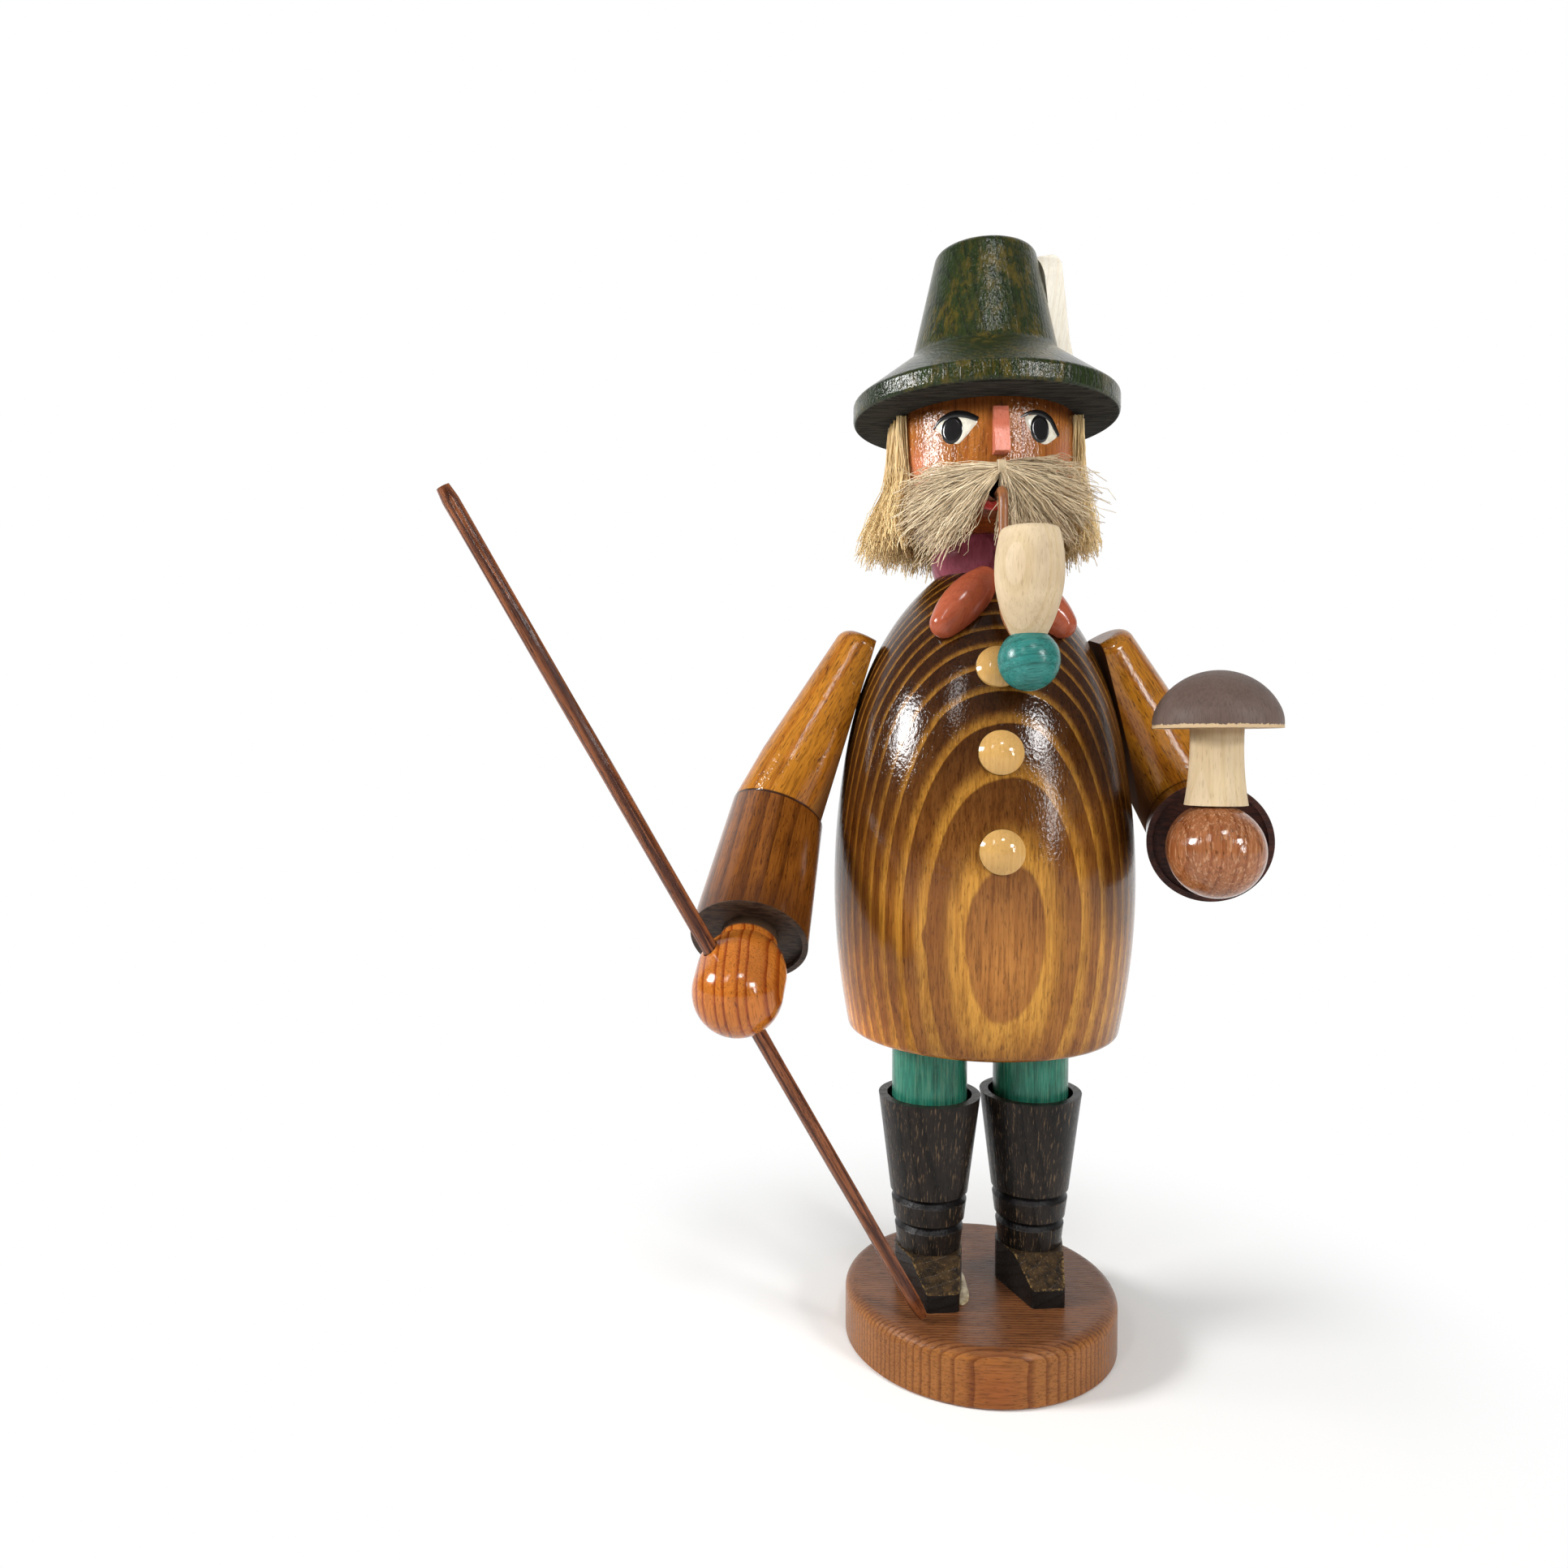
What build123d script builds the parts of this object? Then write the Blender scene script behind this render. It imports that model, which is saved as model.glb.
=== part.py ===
from build123d import *
import os
from math import atan2, cos, degrees, radians, sin, sqrt, tan

# A turned wooden incense smoker: a forester with a walking staff, a mushroom and a hanging pipe.
# Millimetres. The origin is the middle of the base's underside, +Z is up, the figure faces -Y, and
# "right" and "left" are the figure's own, so its right hand is on -X.

# Fits and glue films
GLUE_GAP = 0.05          # film round a glued peg, each side
COAT_FIT = 0.25          # loose fit of the coat over the plug, each side
STAFF_FIT = 0.1          # sliding fit of the staff in the fist, each side
STAFF_REST = 0.25        # staff foot above the base
STEM_REST = 0.2          # pipe stem above the lower lip of the mouth
SOFT_GAP = 0.2           # fibre above the wood that carries it

# Base plate
BASE_RADIUS = 23.85
BASE_HEIGHT = 9.5
BASE_ROUND = 2.0
BASE_BOTTOM_CHAMFER = 0.5

# Shoes, boots and trouser legs
FEET_TURN = 8.0          # degrees, how far the feet stand turned against the coat
SHOE_HEIGHT = 7.0
SHOE_WIDTH = 12.0
TOE_REACH = 11.2         # from the leg's axis to the tip of the shoe
TOE_WIDTH = 5.6
TOE_HEIGHT = 3.0
TOE_ROUND = 0.9
BOOT_HEIGHT = 27.0
BOOT_FOOT_RADIUS = 5.55
BOOT_RIM_WALL = 1.5
BOOT_RIM_GAP = 0.85      # open ring between the trouser leg and the boot's rim
BOOT_CUP_DEPTH = 3.0
BOOT_PARTING = 0.4       # between the rims of the two boots
GROOVE_HEIGHTS = (4.4, 9.2)
GROOVE_WIDTH = 1.6
GROOVE_DEPTH = 0.7
LEG_RADIUS = 6.6
LEG_SHOW = 11.7          # trouser leg between the boot's rim and the coat's hem
LEG_SPIGOT_RADIUS = 3.2
LEG_SPIGOT_LENGTH = 5.0
DOWEL_RADIUS = 1.5
FOOT_DOWEL_DEPTH = 5.0   # how deep the foot dowel goes into the base and into the boot

# Coat and the plug that carries it
COAT_HEIGHT = 79.0
COAT_HEM_RADIUS = 23.3
COAT_BELLY_RADIUS = 25.9
COAT_BELLY_HEIGHT = 21.0
COAT_CHEST_RADIUS = 24.7
COAT_CHEST_DROP = 35.0   # below the coat's top, as are the shoulders
COAT_SHOULDER_RADIUS = 19.6
COAT_SHOULDER_DROP = 15.2
COAT_HEM_ROUND = 1.4
COAT_WALL = 6.3          # from the hem's radius to the burning chamber
COAT_SEAT_WIDTH = 2.5    # step on which the coat sits on the plug's flange
COAT_SEAT_DEPTH = 4.0
CHAMBER_HEIGHT = 46.0    # straight bore, before it narrows to the smoke hole
CHAMBER_CONE = 9.0
PLUG_HEIGHT = 7.0        # spigot above the flange
PLUG_CHAMFER = 0.8

# Burner dish and its nails
DISH_RADIUS = 14.5
DISH_THICKNESS = 0.6
DISH_RIM = 1.4
CONE_RING_RADIUS = 8.0
CONE_RING_HEIGHT = 0.5
CONE_RING_WIDTH = 1.2
NAIL_OFFSET = 11.2
NAIL_RADIUS = 0.6
NAIL_LENGTH = 5.0
NAIL_HEAD_RADIUS = 1.3
NAIL_HEAD_HEIGHT = 0.6

# Buttons
BUTTON_DROPS = {"button_top": 16.8, "button_middle": 30.3, "button_bottom": 45.5}  # below the coat's top
BUTTON_RADIUS = 3.5
BUTTON_RIM = 0.7
BUTTON_DOME = 1.5
BUTTON_SEAT = 0.35       # depth of the spot-faced seat in the coat
BUTTON_PEG_RADIUS = 1.2
BUTTON_PEG_LENGTH = 3.5

# Arms: one tapered sleeve each, sawn through at the elbow and turned half round
SHOULDER_DROP = 21.2     # tangent point of the flat on the arm, below the coat's top
SHOULDER_STANDOFF = 3.2  # from that flat to the sleeve's axis
RIGHT_ELBOW_CLEARANCE = 1.85  # between the sleeve at the elbow and the widest part of the coat
LEFT_ELBOW_CLEARANCE = 3.85
ARM_TOP_LENGTH = 11.0    # sleeve above the tangent point
RIGHT_UPPER_LENGTH = 23.9  # from the tangent point to the elbow
LEFT_UPPER_LENGTH = 26.1
SLEEVE_LENGTH = 63.8     # from its top to its cuff
ARM_TOP_RADIUS = 5.3
SLEEVE_BEND_RADIUS = 7.85  # where its taper slackens
SLEEVE_BEND_LENGTH = 25.5  # from its top to that place
CUFF_RADIUS = 9.4
ARM_TOP_ROUND = 2.4
CUFF_LIP = 0.9
CUFF_CUP_DEPTH = 1.2
RIGHT_SWING = 5.0        # degrees forward
LEFT_SWING = -10.65      # degrees
RIGHT_DROP = 39.9        # degrees of the forearm below level
LEFT_DROP = 2.9          # degrees
RIGHT_HEADING = 7.7      # degrees of the forearm outward from straight ahead
LEFT_HEADING = -12.7     # degrees
SHOULDER_DOWEL_COAT = 6.0  # depth of the shoulder dowel in the coat
SHOULDER_DOWEL_ARM = 3.5
ELBOW_DOWEL_LENGTH = 10.0

# Hands
HAND_RADIUS = 6.95
HAND_STRAIGHT = 3.2      # between the fist's two round ends
HAND_SINK = 0.35         # back of the fist inside the cuff
WRIST_RADIUS = 4.6
WRIST_PEG_RADIUS = 2.4
WRIST_PEG_LENGTH = 5.0

# Mushroom on the left fist
MUSHROOM_FLAT = 0.25     # filed off the top of the fist
MUSHROOM_STEM_LENGTH = 11.4
MUSHROOM_WAIST_HEIGHT = 6.9
MUSHROOM_FOOT_RADIUS = 4.5
MUSHROOM_NECK_RADIUS = 3.8
MUSHROOM_CAP_RADIUS = 9.15
MUSHROOM_CAP_HEIGHT = 8.6
MUSHROOM_CAP_RIM = 0.7   # straight edge under the dome
MUSHROOM_CAP_FLANK = 5.6 # radius of the dome beside its edge
MUSHROOM_PEG_RADIUS = 1.5
MUSHROOM_PEG_LENGTH = 3.5

# Walking staff
STAFF_RADIUS = 1.25
STAFF_LENGTH = 149.6
STAFF_CHAMFER = 0.3
STAFF_TOE_GAP = 0.8      # between the staff's foot and the corner of the right toe
STAFF_TOE_ANGLE = 18.0   # degrees of the foot outward from straight ahead of that corner
STAFF_HOLE_OFFSET = 1.5  # of the hole outside the middle of the fist

# Neck, head and face
COLLAR_RADIUS = 8.4
COLLAR_HEIGHT = 6.3
COLLAR_BULGE = 0.7
NECK_RADIUS = 5.0
NECK_DEPTH = 8.0         # how deep the neck goes into the coat
SMOKE_RADIUS = 3.0
HEAD_TURN = 2.5          # degrees towards the figure's left
HEAD_RADIUS = 15.2
HEAD_HEIGHT = 20.6
CHIN_HEIGHT = 6.5
MOUTH_HEIGHT = 6.4
MOUTH_RADIUS = 2.2
SMOKE_TOP = 4.0          # head bore above the mouth
HEAD_SPIGOT_RADIUS = 6.0
HEAD_SPIGOT_HEIGHT = 4.0
NOSE_HEIGHT = 11.2       # underside of the nose above the chin
NOSE_LENGTH = 7.6
NOSE_WIDTH = 2.4
NOSE_TIP = 2.9
NOSE_TOP = 0.8
NOSE_PEG_RADIUS = 0.7
NOSE_PEG_LENGTH = 2.5
NOSE_PEG_HEIGHT = 2.6    # above the nose's underside

# Hair and moustache
HAIR_TEMPLE = 60.0       # degrees of face left bare on each side of the nose
HAIR_ROOT = 1.9
HAIR_LENGTH = 23.6
HAIR_FLARE = 5.2
HAIR_FRINGE = 3.4
HAIR_CURVE = 0.9
MOUSTACHE_HEIGHT = 9.0   # middle of the tie above the chin
TIE_RADIUS = 1.2
TIE_LENGTH = 2.2
MOUSTACHE_ROOT = 1.1
MOUSTACHE_LENGTH = 14.5
MOUSTACHE_DROP = 37.0    # degrees below level
MOUSTACHE_SWEEP = 13.0   # degrees back round the face
MOUSTACHE_SPREAD = 6.6   # half the cut end
MOUSTACHE_THICK = 1.5

# Hat and feather
HAT_HEIGHT = 28.9
BRIM_RADIUS = 22.8
BRIM_THICKNESS = 3.3
BRIM_ROUND = 0.8
CROWN_BASE_RADIUS = 12.6
CROWN_BASE_HEIGHT = 10.9
CROWN_TOP_RADIUS = 8.5
CROWN_ROUND = 1.4
CROWN_HOLLOW = 2.2       # round where the crown meets the brim
FEATHER_AZIMUTH = 106.0  # degrees from the front towards the figure's left
FEATHER_LENGTH = 18.6
FEATHER_WIDTH = 9.6
FEATHER_FOOT_WIDTH = 4.6
FEATHER_THICKNESS = 3.8
FEATHER_ROUND = 0.9
FEATHER_SINK = 0.6       # let into a flat on the crown
FEATHER_TONGUE = 5.5

# Neckerchief ends
SCARF_DROP = 6.4         # middle of each end below the coat's top
SCARF_TURN = 5.0         # degrees, towards the figure's left
SCARF_ROLL = 29.0        # degrees of each end outward from straight down
SCARF_LENGTH = 15.4
SCARF_WIDTH = 7.0
SCARF_TIP_RADIUS = 2.4
SCARF_LIFT = 0.9         # axis of the turned drop above the coat
SCARF_PARTING = 2.2      # between the two ends

# Pipe
BOWL_RADIUS = 5.2
BOWL_LENGTH = 16.0
BOWL_TOP_RADIUS = 4.3
BOWL_FOOT_RADIUS = 2.7
BOWL_BELLY_HEIGHT = 8.6
BOWL_ROUND = 0.9
BOWL_BORE_RADIUS = 1.8
BOWL_BORE_DEPTH = 4.0
BOWL_PEG_RADIUS = 1.0
BOWL_PEG_LENGTH = 2.0
BEAD_RADIUS = 4.7
PIPE_DROP = 29.0         # from the mouth to the middle of the bead
PIPE_SIDE = 2.5          # bead and bowl to the figure's left of the stem
PIPE_GAP = 1.9           # between the coat and the bead or stem
STEM_RADIUS = 0.75
STEM_INSERT = 4.0        # stem inside the mouth
STEM_OUT = 2.8           # stem in front of the face before it turns down
STEM_HOOK_RADIUS = 2.0
STEM_KNEE = 8.0          # height of the lower bend above the bead
STEM_KNEE_RADIUS = 6.0
STEM_SOCKET = 2.0        # stem inside the bead
STEM_SLOPE = 0.7         # how far the stem leans out on its way down
STEM_BOWL_GAP = 0.8

# Heights and places that follow
shoe_z = BASE_HEIGHT
boot_z = shoe_z + SHOE_HEIGHT
boot_top_radius = LEG_RADIUS + BOOT_RIM_GAP + BOOT_RIM_WALL
leg_offset = boot_top_radius + BOOT_PARTING / 2
leg_z = boot_z + BOOT_HEIGHT - BOOT_CUP_DEPTH
coat_z = boot_z + BOOT_HEIGHT + LEG_SHOW
collar_z = coat_z + COAT_HEIGHT
head_z = collar_z + COLLAR_HEIGHT
hat_z = head_z + HEAD_HEIGHT
mouth_z = head_z + MOUTH_HEIGHT
chamber_radius = COAT_HEM_RADIUS - COAT_WALL
seat_radius = chamber_radius + COAT_SEAT_WIDTH
plug_top_z = coat_z + COAT_SEAT_DEPTH + PLUG_HEIGHT
RIGHT, LEFT = -1, 1
NAMES = {RIGHT: "right", LEFT: "left"}


def turned(*edges):
    """A lathe-turned piece: its half outline, drawn as radius and height, spun round Z."""
    return revolve(Plane.XZ * make_face(edges), Axis.Z)


def peg(radius, bottom, top):
    """A round peg, or the hole for one, on the Z axis between two heights."""
    return Pos(0, 0, bottom) * Cylinder(radius, top - bottom, align=(Align.CENTER, Align.CENTER, Align.MIN))


def dome(radius, foot, rise):
    """Half outline of a round cap, from its edge at the foot's height up to the axis."""
    ball = (radius ** 2 + rise ** 2) / (2 * rise)
    edge = degrees(atan2(ball - rise, radius))
    return CenterArc((0, foot + rise - ball), ball, edge, 90 - edge)


def rod(start, end, radius):
    """A round rod between two points."""
    along = end - start
    return Plane(origin=start, z_dir=along) * peg(radius, 0, along.length)


def at_leg(side, height):
    """Place at the foot of one leg's axis."""
    return Rot(0, 0, FEET_TURN) * Pos(side * leg_offset, 0, height)


def base_plate():
    plate = peg(BASE_RADIUS, 0, BASE_HEIGHT)
    plate = fillet(plate.edges().group_by(Axis.Z)[-1], BASE_ROUND)
    plate = chamfer(plate.edges().group_by(Axis.Z)[0], BASE_BOTTOM_CHAMFER)
    for side in (RIGHT, LEFT):
        plate -= at_leg(side, shoe_z) * peg(DOWEL_RADIUS + GLUE_GAP, -FOOT_DOWEL_DEPTH - GLUE_GAP, 1)
    return plate


def shoe():
    """Wedge-shaped shoe, flat under the boot and falling to a blunt toe."""
    half = SHOE_WIDTH / 2
    toe = TOE_WIDTH / 2
    sole = Polyline((-half, 0), (-toe, -TOE_REACH), (toe, -TOE_REACH), (half, 0))
    heel = ThreePointArc((half, 0), (0, half), (-half, 0))
    block = extrude(make_face([sole, heel]), SHOE_HEIGHT)
    flat_end = -BOOT_FOOT_RADIUS
    profile = Polyline(
        (half, 0), (half, SHOE_HEIGHT), (flat_end, SHOE_HEIGHT), (-TOE_REACH, TOE_HEIGHT), (-TOE_REACH, 0),
        close=True)
    block &= extrude(Plane.YZ * make_face(profile), SHOE_WIDTH, both=True)
    block = fillet(block.edges().filter_by(Axis.Z).sort_by(Axis.Y)[:2], TOE_ROUND)
    return block - peg(DOWEL_RADIUS + GLUE_GAP, -1, SHOE_HEIGHT + 1)


def boot():
    """Turned boot shaft with two grooves at the ankle and a cup at the top for the trouser leg."""
    def radius_at(height):
        return BOOT_FOOT_RADIUS + (boot_top_radius - BOOT_FOOT_RADIUS) * height / BOOT_HEIGHT

    outline = [(0, 0), (BOOT_FOOT_RADIUS, 0)]
    for height in GROOVE_HEIGHTS:
        outline.append((radius_at(height - GROOVE_WIDTH / 2), height - GROOVE_WIDTH / 2))
        outline.append((radius_at(height) - GROOVE_DEPTH, height))
        outline.append((radius_at(height + GROOVE_WIDTH / 2), height + GROOVE_WIDTH / 2))
    cup_floor = BOOT_HEIGHT - BOOT_CUP_DEPTH
    hole = LEG_SPIGOT_RADIUS + GLUE_GAP
    hole_floor = cup_floor - LEG_SPIGOT_LENGTH - GLUE_GAP
    outline += [
        (boot_top_radius, BOOT_HEIGHT), (boot_top_radius - BOOT_RIM_WALL, BOOT_HEIGHT),
        (boot_top_radius - BOOT_RIM_WALL, cup_floor), (hole, cup_floor), (hole, hole_floor), (0, hole_floor)]
    shaft = turned(Polyline(*outline, close=True))
    return shaft - peg(DOWEL_RADIUS + GLUE_GAP, -1, FOOT_DOWEL_DEPTH + GLUE_GAP)


def trouser_leg():
    """Round leg with a spigot at each end, one for the boot and one for the plug."""
    length = BOOT_CUP_DEPTH + LEG_SHOW
    spigots = peg(LEG_SPIGOT_RADIUS, -LEG_SPIGOT_LENGTH, length + LEG_SPIGOT_LENGTH)
    return peg(LEG_RADIUS, 0, length) + spigots


def foot_dowel():
    return peg(DOWEL_RADIUS, -FOOT_DOWEL_DEPTH, SHOE_HEIGHT + FOOT_DOWEL_DEPTH)


def waist_plug():
    """Flanged plug on the legs: the coat's bore slips over it and its seat rests on the flange."""
    plug = peg(chamber_radius - COAT_FIT, coat_z, plug_top_z)
    plug = chamfer(plug.edges().group_by(Axis.Z)[-1], PLUG_CHAMFER)
    plug += peg(seat_radius - COAT_FIT, coat_z, coat_z + COAT_SEAT_DEPTH)
    for side in (RIGHT, LEFT):
        plug -= at_leg(side, coat_z) * peg(LEG_SPIGOT_RADIUS + GLUE_GAP, -1, LEG_SPIGOT_LENGTH + GLUE_GAP)
        plug -= Pos(side * NAIL_OFFSET, 0, plug_top_z) * peg(NAIL_RADIUS + GLUE_GAP, -NAIL_LENGTH, 1)
    return plug


def burner_plate():
    """Pressed metal dish with a turned-up rim and a ring that centres the incense cone."""
    floor = DISH_THICKNESS
    ring_in = CONE_RING_RADIUS
    ring_out = CONE_RING_RADIUS + CONE_RING_WIDTH
    dish = turned(Polyline(
        (0, 0), (DISH_RADIUS, 0), (DISH_RADIUS, DISH_RIM), (DISH_RADIUS - DISH_THICKNESS, DISH_RIM),
        (DISH_RADIUS - DISH_THICKNESS, floor), (ring_out, floor), (ring_out, floor + CONE_RING_HEIGHT),
        (ring_in, floor + CONE_RING_HEIGHT), (ring_in, floor), (0, floor), close=True))
    for side in (RIGHT, LEFT):
        dish -= Pos(side * NAIL_OFFSET, 0, 0) * peg(NAIL_RADIUS + GLUE_GAP, -1, floor + 1)
    return Pos(0, 0, plug_top_z) * dish


def burner_nail():
    shank = peg(NAIL_RADIUS, DISH_THICKNESS - NAIL_LENGTH, DISH_THICKNESS)
    head = peg(NAIL_HEAD_RADIUS, DISH_THICKNESS, DISH_THICKNESS + NAIL_HEAD_HEIGHT)
    return shank + head


def coat_side(extra=0.0):
    """Outer line of the coat from hem to neck, as radius and height above the hem."""
    return Spline(
        (COAT_HEM_RADIUS + extra, 0), (COAT_BELLY_RADIUS + extra, COAT_BELLY_HEIGHT),
        (COAT_CHEST_RADIUS + extra, COAT_HEIGHT - COAT_CHEST_DROP),
        (COAT_SHOULDER_RADIUS + extra, COAT_HEIGHT - COAT_SHOULDER_DROP),
        (COLLAR_RADIUS + extra, COAT_HEIGHT))


def coat_surface(height):
    """Radius of the coat, and its side's lean from upright in radians, at a height above the hem."""
    side = coat_side()
    low, high = 0.0, 1.0
    while high - low > 1e-9:
        middle = (low + high) / 2
        if (side @ middle).Y < height:
            low = middle
        else:
            high = middle
    slope = side % low
    return (side @ low).X, atan2(-slope.X, slope.Y)


def on_coat(height, azimuth):
    """A plane on the coat's surface, Z outward and Y upward; azimuth 0 is the front."""
    radius, lean = coat_surface(height)
    turn = radians(azimuth)
    out = Vector(sin(turn), -cos(turn), 0)
    normal = out * cos(lean) + Vector(0, 0, sin(lean))
    return Plane(
        origin=out * radius + Vector(0, 0, coat_z + height),
        x_dir=Vector(cos(turn), sin(turn), 0), z_dir=normal)


def coat_blank(extra=0.0):
    """The coat before it is bored, grown by a gap for what is hollowed to sit on it."""
    side = coat_side(extra)
    rest = Polyline(side @ 1, (0, COAT_HEIGHT), (0, 0), side @ 0)
    return Pos(0, 0, coat_z) * turned(side, rest)


def coat():
    """Hollow turned coat: burning chamber below, smoke hole and neck socket above."""
    body = coat_blank()
    body = fillet(body.edges().group_by(Axis.Z)[0], COAT_HEM_ROUND)
    socket_floor = COAT_HEIGHT - NECK_DEPTH - GLUE_GAP
    bore = turned(Polyline(
        (0, -1), (seat_radius, -1), (seat_radius, COAT_SEAT_DEPTH), (chamber_radius, COAT_SEAT_DEPTH),
        (chamber_radius, CHAMBER_HEIGHT), (SMOKE_RADIUS, CHAMBER_HEIGHT + CHAMBER_CONE),
        (SMOKE_RADIUS, socket_floor), (NECK_RADIUS + GLUE_GAP, socket_floor),
        (NECK_RADIUS + GLUE_GAP, COAT_HEIGHT + 1), (0, COAT_HEIGHT + 1), close=True))
    body -= Pos(0, 0, coat_z) * bore
    for drop in BUTTON_DROPS.values():
        seat = on_coat(COAT_HEIGHT - drop, 0)
        body -= seat * peg(BUTTON_RADIUS + GLUE_GAP, -BUTTON_SEAT, BUTTON_DOME)
        body -= seat * peg(BUTTON_PEG_RADIUS + GLUE_GAP, -BUTTON_SEAT - BUTTON_PEG_LENGTH - GLUE_GAP, 0)
    for arm in ARMS.values():
        body -= arm.shoulder_hole
    return body


def button(height):
    """Domed button with a peg, seated in its spot-faced place on the coat."""
    crown = dome(BUTTON_RADIUS, BUTTON_RIM, BUTTON_DOME)
    body = Polyline((0, BUTTON_RIM + BUTTON_DOME), (0, 0), (BUTTON_RADIUS, 0), (BUTTON_RADIUS, BUTTON_RIM))
    shape = turned(crown, body) + peg(BUTTON_PEG_RADIUS, -BUTTON_PEG_LENGTH, 0)
    return on_coat(height, 0) * Pos(0, 0, -BUTTON_SEAT) * shape


class Arm:
    """One arm: a tapered sleeve sawn through at the elbow, its lower half turned half round."""

    def __init__(self, side, upper_length, clearance, swing, drop, heading):
        facet = on_coat(COAT_HEIGHT - SHOULDER_DROP, side * 90)
        self.facet = facet.offset(GLUE_GAP)
        above = ARM_TOP_LENGTH + upper_length
        taper = (CUFF_RADIUS - SLEEVE_BEND_RADIUS) / (SLEEVE_LENGTH - SLEEVE_BEND_LENGTH)
        elbow_radius = CUFF_RADIUS - taper * (SLEEVE_LENGTH - above)
        level = cos(radians(drop))
        self.lower_way = Vector(
            side * level * sin(radians(heading)), -level * cos(radians(heading)), -sin(radians(drop)))
        middle = facet.origin + facet.z_dir * SHOULDER_STANDOFF
        aside = COAT_BELLY_RADIUS + clearance + elbow_radius - abs(middle.X)
        ahead = upper_length * sin(radians(swing))
        down = sqrt(upper_length ** 2 - aside ** 2 - ahead ** 2)
        upper_way = Vector(side * aside, -ahead, -down).normalized()
        top = middle - upper_way * ARM_TOP_LENGTH
        elbow = middle + upper_way * upper_length

        # The saw cut halves the bend. Its section of the tapered sleeve is an ellipse whose middle lies
        # a little off the axis, and half a turn about that middle lays the ellipse on itself.
        self.saw_normal = (upper_way + self.lower_way).normalized()
        lean = radians(upper_way.get_angle(self.saw_normal))
        across = (self.saw_normal - upper_way * cos(lean)).normalized()
        share = taper * tan(lean)
        off_axis = -elbow_radius * share / (1 - share * share)
        self.saw_middle = elbow + across * off_axis - upper_way * (off_axis * tan(lean))

        sleeve = Plane(origin=top, z_dir=upper_way) * sleeve_blank()
        saw = Plane(origin=self.saw_middle, z_dir=self.saw_normal)
        reach = ELBOW_DOWEL_LENGTH / 2
        self.elbow_dowel = saw * peg(DOWEL_RADIUS, -reach, reach)
        elbow_hole = saw * peg(DOWEL_RADIUS + GLUE_GAP, -reach - GLUE_GAP, reach + GLUE_GAP)
        self.shoulder_dowel = facet * peg(DOWEL_RADIUS, -SHOULDER_DOWEL_COAT, SHOULDER_DOWEL_ARM)
        self.shoulder_hole = facet * peg(
            DOWEL_RADIUS + GLUE_GAP, -SHOULDER_DOWEL_COAT - GLUE_GAP, SHOULDER_DOWEL_ARM + GLUE_GAP)
        upper = split(sleeve, saw, keep=Keep.BOTTOM)
        self.upper = split(upper, self.facet, keep=Keep.TOP) - elbow_hole - self.shoulder_hole
        lower = split(sleeve, saw, keep=Keep.TOP)
        self.forearm = lower.rotate(Axis(self.saw_middle, self.saw_normal), 180) - elbow_hole
        cuff = self.half_turn(top + upper_way * SLEEVE_LENGTH)
        self.wrist = Plane(origin=cuff, z_dir=self.lower_way)
        self.hand_reach = HAND_RADIUS + HAND_STRAIGHT / 2 - HAND_SINK
        self.fist = cuff + self.lower_way * self.hand_reach

    def half_turn(self, point):
        """Where the half turn at the elbow carries a point of the sleeve."""
        away = point - self.saw_middle
        return self.saw_middle + self.saw_normal * (2 * away.dot(self.saw_normal)) - away


def sleeve_blank():
    """The whole sleeve along Z, shoulder at 0, with the cup and peg hole in its cuff."""
    cup_floor = SLEEVE_LENGTH - CUFF_CUP_DEPTH
    hole = WRIST_PEG_RADIUS + GLUE_GAP
    hole_floor = cup_floor - WRIST_PEG_LENGTH - GLUE_GAP
    sleeve = turned(Polyline(
        (0, 0), (ARM_TOP_RADIUS, 0), (SLEEVE_BEND_RADIUS, SLEEVE_BEND_LENGTH), (CUFF_RADIUS, SLEEVE_LENGTH),
        (CUFF_RADIUS - CUFF_LIP, SLEEVE_LENGTH), (CUFF_RADIUS - CUFF_LIP, cup_floor), (hole, cup_floor),
        (hole, hole_floor), (0, hole_floor), close=True))
    return fillet(sleeve.edges().group_by(Axis.Z)[0], ARM_TOP_ROUND)


def hand(arm):
    """Round-ended fist turned in one with its wrist and peg."""
    half = HAND_STRAIGHT / 2
    tip = HAND_RADIUS + half
    fist = turned(
        CenterArc((0, half), HAND_RADIUS, 0, 90), Line((HAND_RADIUS, -half), (HAND_RADIUS, half)),
        CenterArc((0, -half), HAND_RADIUS, -90, 90), Line((0, -tip), (0, tip)))
    wrist = peg(WRIST_RADIUS, -CUFF_CUP_DEPTH, arm.hand_reach)
    tenon = peg(WRIST_PEG_RADIUS, -CUFF_CUP_DEPTH - WRIST_PEG_LENGTH, 0)
    return arm.wrist * (wrist + tenon + Pos(0, 0, arm.hand_reach) * fist)


def staff_line():
    """Foot and direction of the staff: from beside the right toe up through the right fist."""
    clear = STAFF_RADIUS + STAFF_TOE_GAP
    aside = clear * sin(radians(STAFF_TOE_ANGLE))
    ahead = clear * cos(radians(STAFF_TOE_ANGLE))
    spot = at_leg(RIGHT, shoe_z) * Pos(-TOE_WIDTH / 2 - aside, -TOE_REACH - ahead, 0)
    ground = spot.position
    way = (ARMS[RIGHT].fist - Vector(STAFF_HOLE_OFFSET, 0, 0) - ground).normalized()
    tilt = sqrt(1 - way.Z * way.Z)
    lift = (STAFF_REST + STAFF_RADIUS * tilt) / way.Z
    return ground + way * lift, way


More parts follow.
